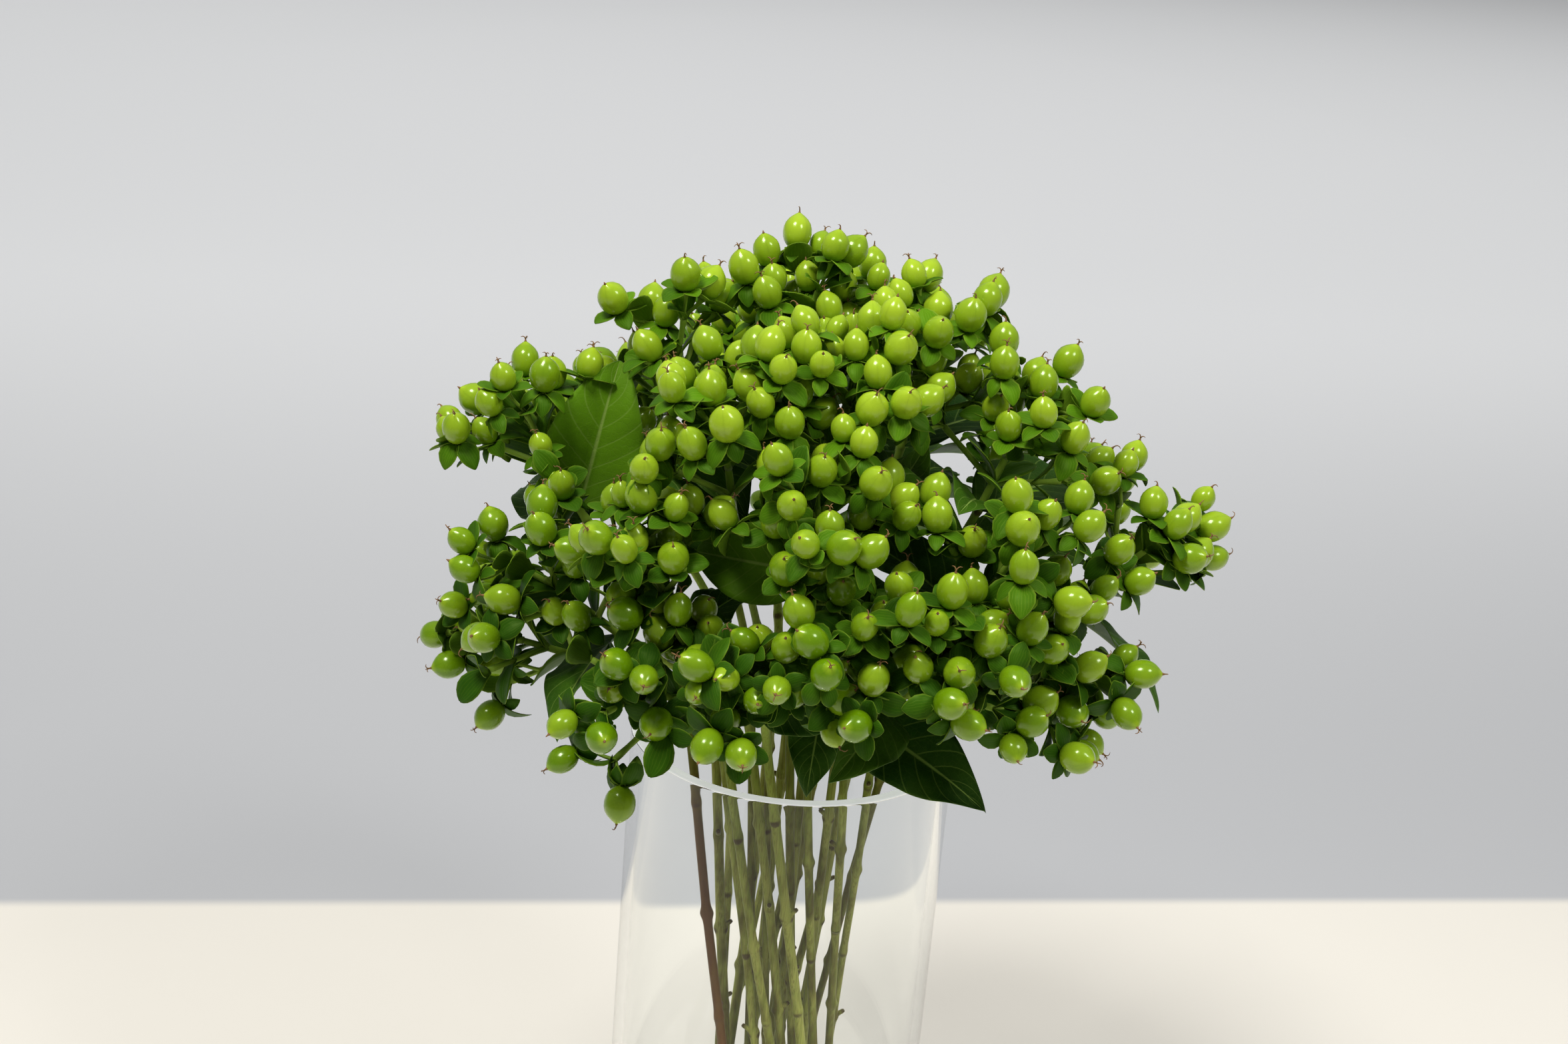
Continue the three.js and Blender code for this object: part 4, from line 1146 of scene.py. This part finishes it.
def ground_glass_with_painted_glow(tint):
    """The rim's ground edge, milky and dull, with a painted glow: its emission keeps the rim bright where the bunch
    shades it.
    """
    n = Nodes("ground glass")
    grain = n.noise(n.place(), 1500)
    n.bump(grain, 0.0001, 0.3)
    # Painted glow: the rim's own colour is also given off as light, though the rim is no lamp.
    return n.finish(Base_Color=tint, Roughness=grain * 0.2 + 0.3, Emission_Color=tint, Emission_Strength=0.5)


def still_water(tint):
    """Clear still water with a very faint ripple."""
    n = Nodes("still water")
    n.bump(n.noise(n.place(), 30, 2), 0.0003, 0.05)
    return n.finish(Base_Color=tint, Roughness=0.0, IOR=1.333, Transmission_Weight=1.0)


def table_and_backdrop(stage):
    """A cream table top, and beyond its far edge a pale grey backdrop, with painted shade that darkens it near the
    table.
    """
    n = Nodes("table and backdrop")
    place = n.place()
    x, y, _ = n.split(place)
    back = y - x * EDGE_SLOPE
    far = n.smooth(back, stage.table_edge, stage.table_edge + EDGE_WIDTH)
    # Painted shade: the backdrop is darkened near the table and grows paler towards BACKDROP_END.
    backdrop_with_painted_shade = n.blend(n.smooth(back, stage.table_edge, BACKDROP_END), stage.backdrop_low, stage.backdrop)
    top = n.blend(n.noise(place, 6) * 0.12, stage.table, (0.6, 0.57, 0.5))
    n.bump(n.noise(place, 60), 0.0003, 0.2)
    return n.finish(Base_Color=n.blend(far, top, backdrop_with_painted_shade), Roughness=0.6, Specular_IOR_Level=0.25)


# ---------------------------------------------------------------- settings


def number(name, description, default, smallest=0.0, **more):
    return FloatProperty(name=name, description=description, default=default, min=smallest, **more)


def size(name, description, default, largest=1.0):
    return number(name, description, default, max=largest, subtype="DISTANCE", unit="LENGTH")


def count(name, description, default, smallest, largest):
    return IntProperty(name=name, description=description, default=default, min=smallest, max=largest)


def colour(name, description, default):
    look = {"size": 3, "min": 0.0, "max": 1.0, "subtype": "COLOR"}
    return FloatVectorProperty(name=name, description=description, default=default, **look)


class VaseSettings(PropertyGroup):
    """Sizes and colours of the vase and its water."""

    radius: size("Radius", "Outer radius of the vase", VASE_BOX[1].x)
    height: size("Height", "Height of the vase", VASE_BOX[1].z)
    wall: size("Wall", "Thickness of the glass wall", 0.0045)
    floor: size("Floor", "Thickness of the glass floor", 0.009)
    level: size("Water level", "Height of the water above the table", WATER_BOX[1].z)
    sides: count("Sides", "Number of faces round the vase", 160, 24, 256)
    glass: colour("Glass", "Colour of the glass", (0.985, 0.995, 0.99))
    water: colour("Water", "Colour of the water", (0.975, 0.99, 0.98))
    ground_rim: size("Ground rim", "Height of the ground band at the rim", 0.0007)
    # The ground rim's colour is also the colour of its painted glow.
    ground: colour("Ground rim colour", "Colour of the ground rim", (0.95, 0.96, 0.96))


class StemSettings(PropertyGroup):
    """Sizes of the berries, sepals and leaves."""

    berry_length: size("Berry length", "Length of a berry of size 1", 0.0145)
    berry_radius: size("Berry radius", "Radius of a berry of size 1", 0.0059)
    seam_depth: size("Seam depth", "Depth of the three seams of a berry", 0.0001)
    sepal_length: size("Sepal length", "Length of the largest sepal", 0.0122)
    sepal_half_width: size("Sepal half width", "Half the width of the largest sepal", 0.0044)
    sepal_thickness: size("Sepal thickness", "Thickness of the sepals and small leaves", 0.00028)
    sepal_droop: number("Sepal droop", "How far the sepals bend back", 0.45, subtype="ANGLE")
    bract_length: size("Small leaf length", "Length of the small leaves among the berries", 0.0145)
    leaf_thickness: size("Leaf thickness", "Thickness of the large leaves", 0.0004)
    leaf_wave: size("Leaf wave", "Height of the wave along a leaf's edge", 0.0016)
    leaf_quilt: size("Leaf quilting", "How far a leaf rises between its veins", 0.00055)
    leaf_curl: size("Leaf tip curl", "How far a leaf's tip turns down", 0.004)
    veins: count("Side veins", "Number of side veins on each half of a leaf", 7, 3, 14)
    stub_share: number("Stubs", "Share of the nodes with the stub of a cut shoot", 0.45, subtype="FACTOR")
    kink: size("Kink", "How far a stalk turns aside at its nodes", 0.0012)
    bow: size("Bow", "How far a stalk bows aside between its foot and the rim", 0.0032)
    stray: number("Stray", "How far a berry turns from its neighbours", 0.55, subtype="FACTOR")


class ColourSettings(PropertyGroup):
    """Colours of the plant."""

    berry: colour("Berry", "Grown berries", (0.12, 0.245, 0.001))
    # Also the painted light on the berries high in the bunch.
    young_berry: colour("Young berry", "Young berries, and the tips of all", (0.43, 0.6, 0.025))
    # Used for the seams, and as painted shade at the base of a berry.
    berry_shade: colour("Berry shade", "Seams and the base of a berry", (0.06, 0.13, 0.001))
    style: colour("Style", "The brown point of a berry", (0.1, 0.045, 0.015))
    dry_style: colour("Dry style", "The driest parts of the point", (0.34, 0.18, 0.06))
    leaf: colour("Leaf", "Upper side of the large leaves", (0.096, 0.222, 0.006))
    leaf_shade: colour("Leaf shade", "Darker leaves", (0.01, 0.043, 0.005))
    leaf_under: colour("Leaf underside", "Underside of the large leaves", (0.08, 0.16, 0.04))
    leaf_vein: colour("Leaf veins", "Midrib, side veins and edge of a leaf", (0.24, 0.36, 0.07))
    sepal: colour("Sepal", "Lighter sepals", (0.107, 0.258, 0.004))
    sepal_shade: colour("Sepal shade", "Darker sepals", (0.011, 0.054, 0.004))
    sepal_edge: colour("Sepal edge", "Edges and veins of the sepals", (0.25, 0.37, 0.03))
    young_stalk: colour("Young stalk", "Branches and pedicels", (0.22, 0.36, 0.03))
    old_stalk: colour("Old stalk", "Lower stalks", (0.13, 0.11, 0.01))
    grey_stalk: colour("Grey stalk", "Greyer parts of the lower stalks", (0.46, 0.48, 0.1))
    bloom: colour("Bloom", "Pale sheen of the stalks", (0.9, 0.9, 0.55))
    gleam: colour("Gleam", "Tint of the waxy gleam on berries, leaves and sepals", (0.7, 1.0, 0.25))
    bark: colour("Bark", "The stalk that has turned woody", (0.15, 0.045, 0.008))
    scar: colour("Scar", "Scars at the nodes", (0.06, 0.025, 0.008))


class StageSettings(PropertyGroup):
    """The table, the light and the camera."""

    table_edge: size("Table edge", "How far behind the vase the table ends", 0.31, 5.0)
    table: colour("Table", "Colour of the table top", (0.81, 0.77, 0.69))
    backdrop: colour("Backdrop", "Colour of the backdrop", (0.76, 0.765, 0.77))
    # Painted shade on the backdrop near the table.
    backdrop_low: colour("Lower backdrop", "Colour of the backdrop near the table", (0.465, 0.47, 0.48))
    key: number("Key light", "Power of the main light", 17.0, unit="POWER")
    fill: number("Fill light", "Power of the second light", 7.0, unit="POWER")
    back: number("Back light", "Power of the light over the backdrop", 230.0, unit="POWER")
    sky: number("Room light", "Strength of the even light all round", 0.18)
    lens: number("Lens", "Focal length of the camera", 50.0, 10.0, unit="CAMERA")


def in_millimetres(settings):
    """A group's settings, with its lengths in millimetres."""
    values = {key: getattr(settings, key) for key in settings.__annotations__}
    lengths = {key for key in values if getattr(settings.rna_type.properties[key], "unit", "") == "LENGTH"}
    return SimpleNamespace(**{key: value / MM if key in lengths else value for key, value in values.items()})


# ---------------------------------------------------------------- operators

# How each edge of the vase's profile is rounded, from its foot round to the inside of its floor.
VASE_BENDS = (3, 0.9, 0.9, 4)
WATER_OVERLAP = 0.12

# The table top's far edge, and where the backdrop's painted shade ends and it is palest, in metres.
EDGE_SLOPE, EDGE_WIDTH, BACKDROP_END = 0.183, 0.012, 1.8
TABLE_CORNERS = [(-6, -6, -0.0004), (6, -6, -0.0004), (6, 8, -0.0004), (-6, 8, -0.0004)]

# Each light's place, what it is aimed at, its size in metres and its tint.
LIGHTS = {
    "key": ((-0.45, -0.5, 1.65), (0.0, 0.0, 0.34), (0.42, 0.42), (1.0, 0.99, 0.97)),
    "fill": ((0.75, -0.6, 1.4), (0.0, 0.0, 0.34), (0.34, 0.34), (1.0, 1.0, 1.0)),
    "back": ((0.0, 3.2, 3.4), (0.0, 3.2, 0.0), (10.0, 6.0), (1.0, 1.0, 1.0)),
}
SKY = (0.97, 0.985, 1.0, 1.0)

# The camera's place in metres, and its directions to the right and back.
CAMERA_PLACE, SENSOR_WIDTH = (0.0, -0.79522, 0.63745), 36.0
CAMERA_RIGHT, CAMERA_BACK = (0.99602, 0.04195, 0.07867), (0.01257, -0.93968, 0.34183)


def place(piece, slot, *nodes):
    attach(piece, "root")
    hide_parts(*nodes)


def with_guards(profile, reach=0.6):
    """The profile with a point close to each end of its long stretches, so that they shade evenly."""
    points = []
    for a, b in zip(profile[:-1], profile[1:]):
        points.append(a)
        if np.linalg.norm(b - a) > 8 * reach:
            way = unit(b - a) * reach
            points += [a + way, *(mix(a, b, t) for t in (0.25, 0.5, 0.75)), b - way]
    return np.array([*points, profile[-1]])


def add_lathe(shape, profile, sides, kinds):
    """A closed solid turned from a profile that starts and ends close to the axis."""
    radii, heights = np.array(profile, float).T
    circle = spokes(np.array([1.0, 0.0, 0.0]), np.array([0.0, 1.0, 0.0]), sides)
    add_tube(shape, circle * radii[:, None, None] + UP * heights[:, None, None], (0, 0, 0), 0)
    if kinds is not None:
        shape.kinds[0] = np.repeat(kinds.astype(int), sides)


def rounded(corner, before, after, radius, steps=5):
    """The points of a rounded corner of a profile."""
    corner, before, after = (np.array(p, float) for p in (corner, before, after))
    start, end = corner - unit(corner - before) * radius, corner + unit(after - corner) * radius
    t = np.linspace(0, 1, steps)[:, None]
    return ((1 - t) ** 2 * start + 2 * t * (1 - t) * corner + t**2 * end).tolist()


def place_turned(name, slot, node, profile, sides, skins, kinds=None):
    """Turns a profile into a clear piece, which casts no shadow."""
    shape = Shape()
    add_lathe(shape, profile, sides, kinds)
    piece = shape.piece(name, skins)
    piece.visible_shadow = False
    place(piece, slot, node)


class HYPERICUM_OT_vase(Operator):
    """Build the clear cylinder vase"""

    bl_idname = "hypericum.vase"
    bl_label = "Vase"

    def execute(self, context):
        vase = in_millimetres(context.scene.hypericum_vase)
        radius, height, floor = vase.radius, vase.height, vase.floor
        inner = radius - vase.wall
        corners = [(0, 0), (radius, 0), (radius, height), (inner, height), (inner, floor), (0, floor)]
        profile = [(0.5, 0), (radius * 0.5, 0)]
        for before, corner, after, bend_radius in zip(corners, corners[1:], corners[2:], VASE_BENDS):
            profile += rounded(corner, before, after, bend_radius)
        profile = with_guards(np.array([*profile, (inner * 0.5, floor), (0.5, floor)], float))
        ground = (profile[:-1, 1] + profile[1:, 1]) / 2 > height - vase.ground_rim
        skins = [clear_glass(vase.glass), ground_glass_with_painted_glow(vase.ground)]
        place_turned("glass_vase", "glass", "vase", profile, vase.sides, skins, ground)
        return {"FINISHED"}


class HYPERICUM_OT_water(Operator):
    """Fill the vase with a little water"""

    bl_idname = "hypericum.water"
    bl_label = "Water"

    def execute(self, context):
        vase = in_millimetres(context.scene.hypericum_vase)
        radius, bottom = vase.radius - vase.wall + WATER_OVERLAP, vase.floor - WATER_OVERLAP
        profile = [(0.5, bottom), (radius - 3.5, bottom), (radius - 1, bottom + 1), (radius, bottom + 3.5)]
        for inwards, down in ((0, 0), (0.6, 0.5), (1.6, 1.1), (3.5, 1.4), (radius * 0.5, 1.5), (radius - 0.5, 1.5)):
            profile.append((radius - inwards, vase.level - down))
        place_turned("vase_water", "water", "water", profile, vase.sides, [still_water(vase.water)])
        return {"FINISHED"}


class HYPERICUM_OT_stems(Operator):
    """Grow the stems with their branches, leaves, calyces and berries"""

    bl_idname = "hypericum.stems"
    bl_label = "Berry stems"

    def execute(self, context):
        stems = plan_bunch()
        look = in_millimetres(context.scene.hypericum_stems)
        colours = context.scene.hypericum_colours
        skins = [
            stalk_skin(colours),
            leaf_skin(colours, look),
            sepal_skin(colours),
            berry_skin(colours),
            style_skin(colours),
        ]
        draw = seeded(800)
        for stem in stems:
            thin_out(stem, draw)
        berries = [b for stem in stems for b in stem.berries]
        for berry in berries:
            turn_berry(berry, look, draw)
            keep_inside(berry, look)
        around = SimpleNamespace(
            centres=np.array([b.centre for b in berries]),
            reaches=np.array([b.size for b in berries]) * BERRY_ROOM,
            starts=np.array([start for start, *_ in CLEARINGS]),
            ends=np.array([end for _, end, _ in CLEARINGS]),
        )
        for stem in stems:
            shape = Shape()
            self.grow(shape, stem, look, around, seeded(900 + stem.index))
            number = f"{stem.index + 1:02d}"
            place(shape.piece(f"stem_{number}", skins), "plant", f"berry_stem_{number}")
        return {"FINISHED"}

    def grow(self, shape, stem, look, around, draw):
        """All the parts of one stem."""
        ripeness = draw()
        stem.tint = WOODY_TINT if stem.index == WOODY_STEM else STALK_TINTS * draw()
        add_stalk(shape, stem, look, draw)
        for branch in stem.branches:
            add_branch(shape, branch, stem.tint)
        add_small_leaves(shape, stem, look, around, draw)
        for k, leaf in enumerate(stem.leaves):
            # The leaves with round tips get painted light; the others a random tint.
            tint = ROUND_LEAVES_PAINTED_LIGHT.get((stem.index, k), 0.6 * draw() ** 1.5)
            add_leaf(shape, leaf, look, draw, tint, (stem.index, k) in ROUND_LEAVES_PAINTED_LIGHT)
        for berry in stem.berries:
            # Painted light and shade: berries high in the bunch are painted paler and yellower, low ones deeper
            # green.
            berry.high = height_for_painted_light(berry.centre[2])
            berry.tint = 0.4 * draw() ** 1.3 + 0.2 * ripeness + 0.42 * berry.high + 0.4 * (1.0 - berry.size) - 0.13
            add_pedicel(shape, berry, stem.tint)
            add_calyx(shape, berry, look, draw)
            add_berry(shape, berry, look, draw)


def add_light(name, power, position, aim, size, tint):
    light = bpy.data.lights.new(name, "AREA")
    light.shape = "RECTANGLE"
    light.size, light.size_y = size
    light.energy = power
    light.color = tint
    lamp = bpy.data.objects.new(name, light)
    lamp.location = position
    lamp.rotation_euler = (Vector(aim) - Vector(position)).to_track_quat("-Z", "Y").to_euler()
    bpy.context.scene.collection.objects.link(lamp)
    return lamp


class HYPERICUM_OT_stage(Operator):
    """Lay the table, hang the lights and set up the camera"""

    bl_idname = "hypericum.stage"
    bl_label = "Table, light and camera"

    def execute(self, context):
        scene = context.scene
        stage = scene.hypericum_stage
        mesh = bpy.data.meshes.new("table")
        mesh.from_pydata(TABLE_CORNERS, [], [(0, 1, 2, 3)])
        mesh.materials.append(table_and_backdrop(stage))
        table = bpy.data.objects.new("table", mesh)
        scene.collection.objects.link(table)
        for key, values in LIGHTS.items():
            lamp = add_light(f"{key} light", getattr(stage, key), *values)
            lamp.visible_glossy = key != "back"
        world = bpy.data.worlds.new("room light")
        world.use_nodes = True
        background = world.node_tree.nodes["Background"]
        background.inputs["Color"].default_value = SKY
        background.inputs["Strength"].default_value = stage.sky
        scene.world = world
        scene.view_settings.view_transform = "Standard"
        self.add_camera(scene, stage.lens)
        return {"FINISHED"}

    def add_camera(self, scene, lens):
        data = bpy.data.cameras.new("camera")
        data.lens = lens
        data.sensor_width = SENSOR_WIDTH
        data.sensor_fit = "HORIZONTAL"
        data.clip_start, data.clip_end = 0.05, 50.0
        camera = bpy.data.objects.new("camera", data)
        scene.collection.objects.link(camera)
        back = Vector(CAMERA_BACK).normalized()
        up = back.cross(Vector(CAMERA_RIGHT).normalized()).normalized()
        turn = Matrix((up.cross(back), up, back)).transposed().to_4x4()
        camera.matrix_world = Matrix.Translation(CAMERA_PLACE) @ turn
        scene.camera = camera


class HYPERICUM_PT_panel(Panel):
    """Lists the steps that build the vase of stems"""

    bl_idname = "HYPERICUM_PT_panel"
    bl_label = "Hypericum Berry Stems"
    bl_space_type = "VIEW_3D"
    bl_region_type = "UI"
    bl_category = "Hypericum"

    def draw(self, context):
        scene = context.scene
        steps = {
            "hypericum.vase": (scene.hypericum_vase,),
            "hypericum.water": (),
            "hypericum.stems": (scene.hypericum_stems, scene.hypericum_colours),
            "hypericum.stage": (scene.hypericum_stage,),
        }
        for step, groups in steps.items():
            self.layout.operator(step)
            for settings in groups:
                for key in settings.__annotations__:
                    self.layout.prop(settings, key)


GROUPS = {
    "hypericum_vase": VaseSettings,
    "hypericum_stems": StemSettings,
    "hypericum_colours": ColourSettings,
    "hypericum_stage": StageSettings,
}
CLASSES = (
    *GROUPS.values(),
    HYPERICUM_OT_vase,
    HYPERICUM_OT_water,
    HYPERICUM_OT_stems,
    HYPERICUM_OT_stage,
    HYPERICUM_PT_panel,
)


def register():
    for cls in CLASSES:
        bpy.utils.register_class(cls)
    for name, group in GROUPS.items():
        setattr(bpy.types.Scene, name, PointerProperty(type=group))


def unregister():
    for name in GROUPS:
        delattr(bpy.types.Scene, name)
    for cls in reversed(CLASSES):
        bpy.utils.unregister_class(cls)


def main():
    register()
    bpy.ops.hypericum.vase()
    bpy.ops.hypericum.water()
    bpy.ops.hypericum.stems()
    bpy.ops.hypericum.stage()


if __name__ == "__main__":
    main()
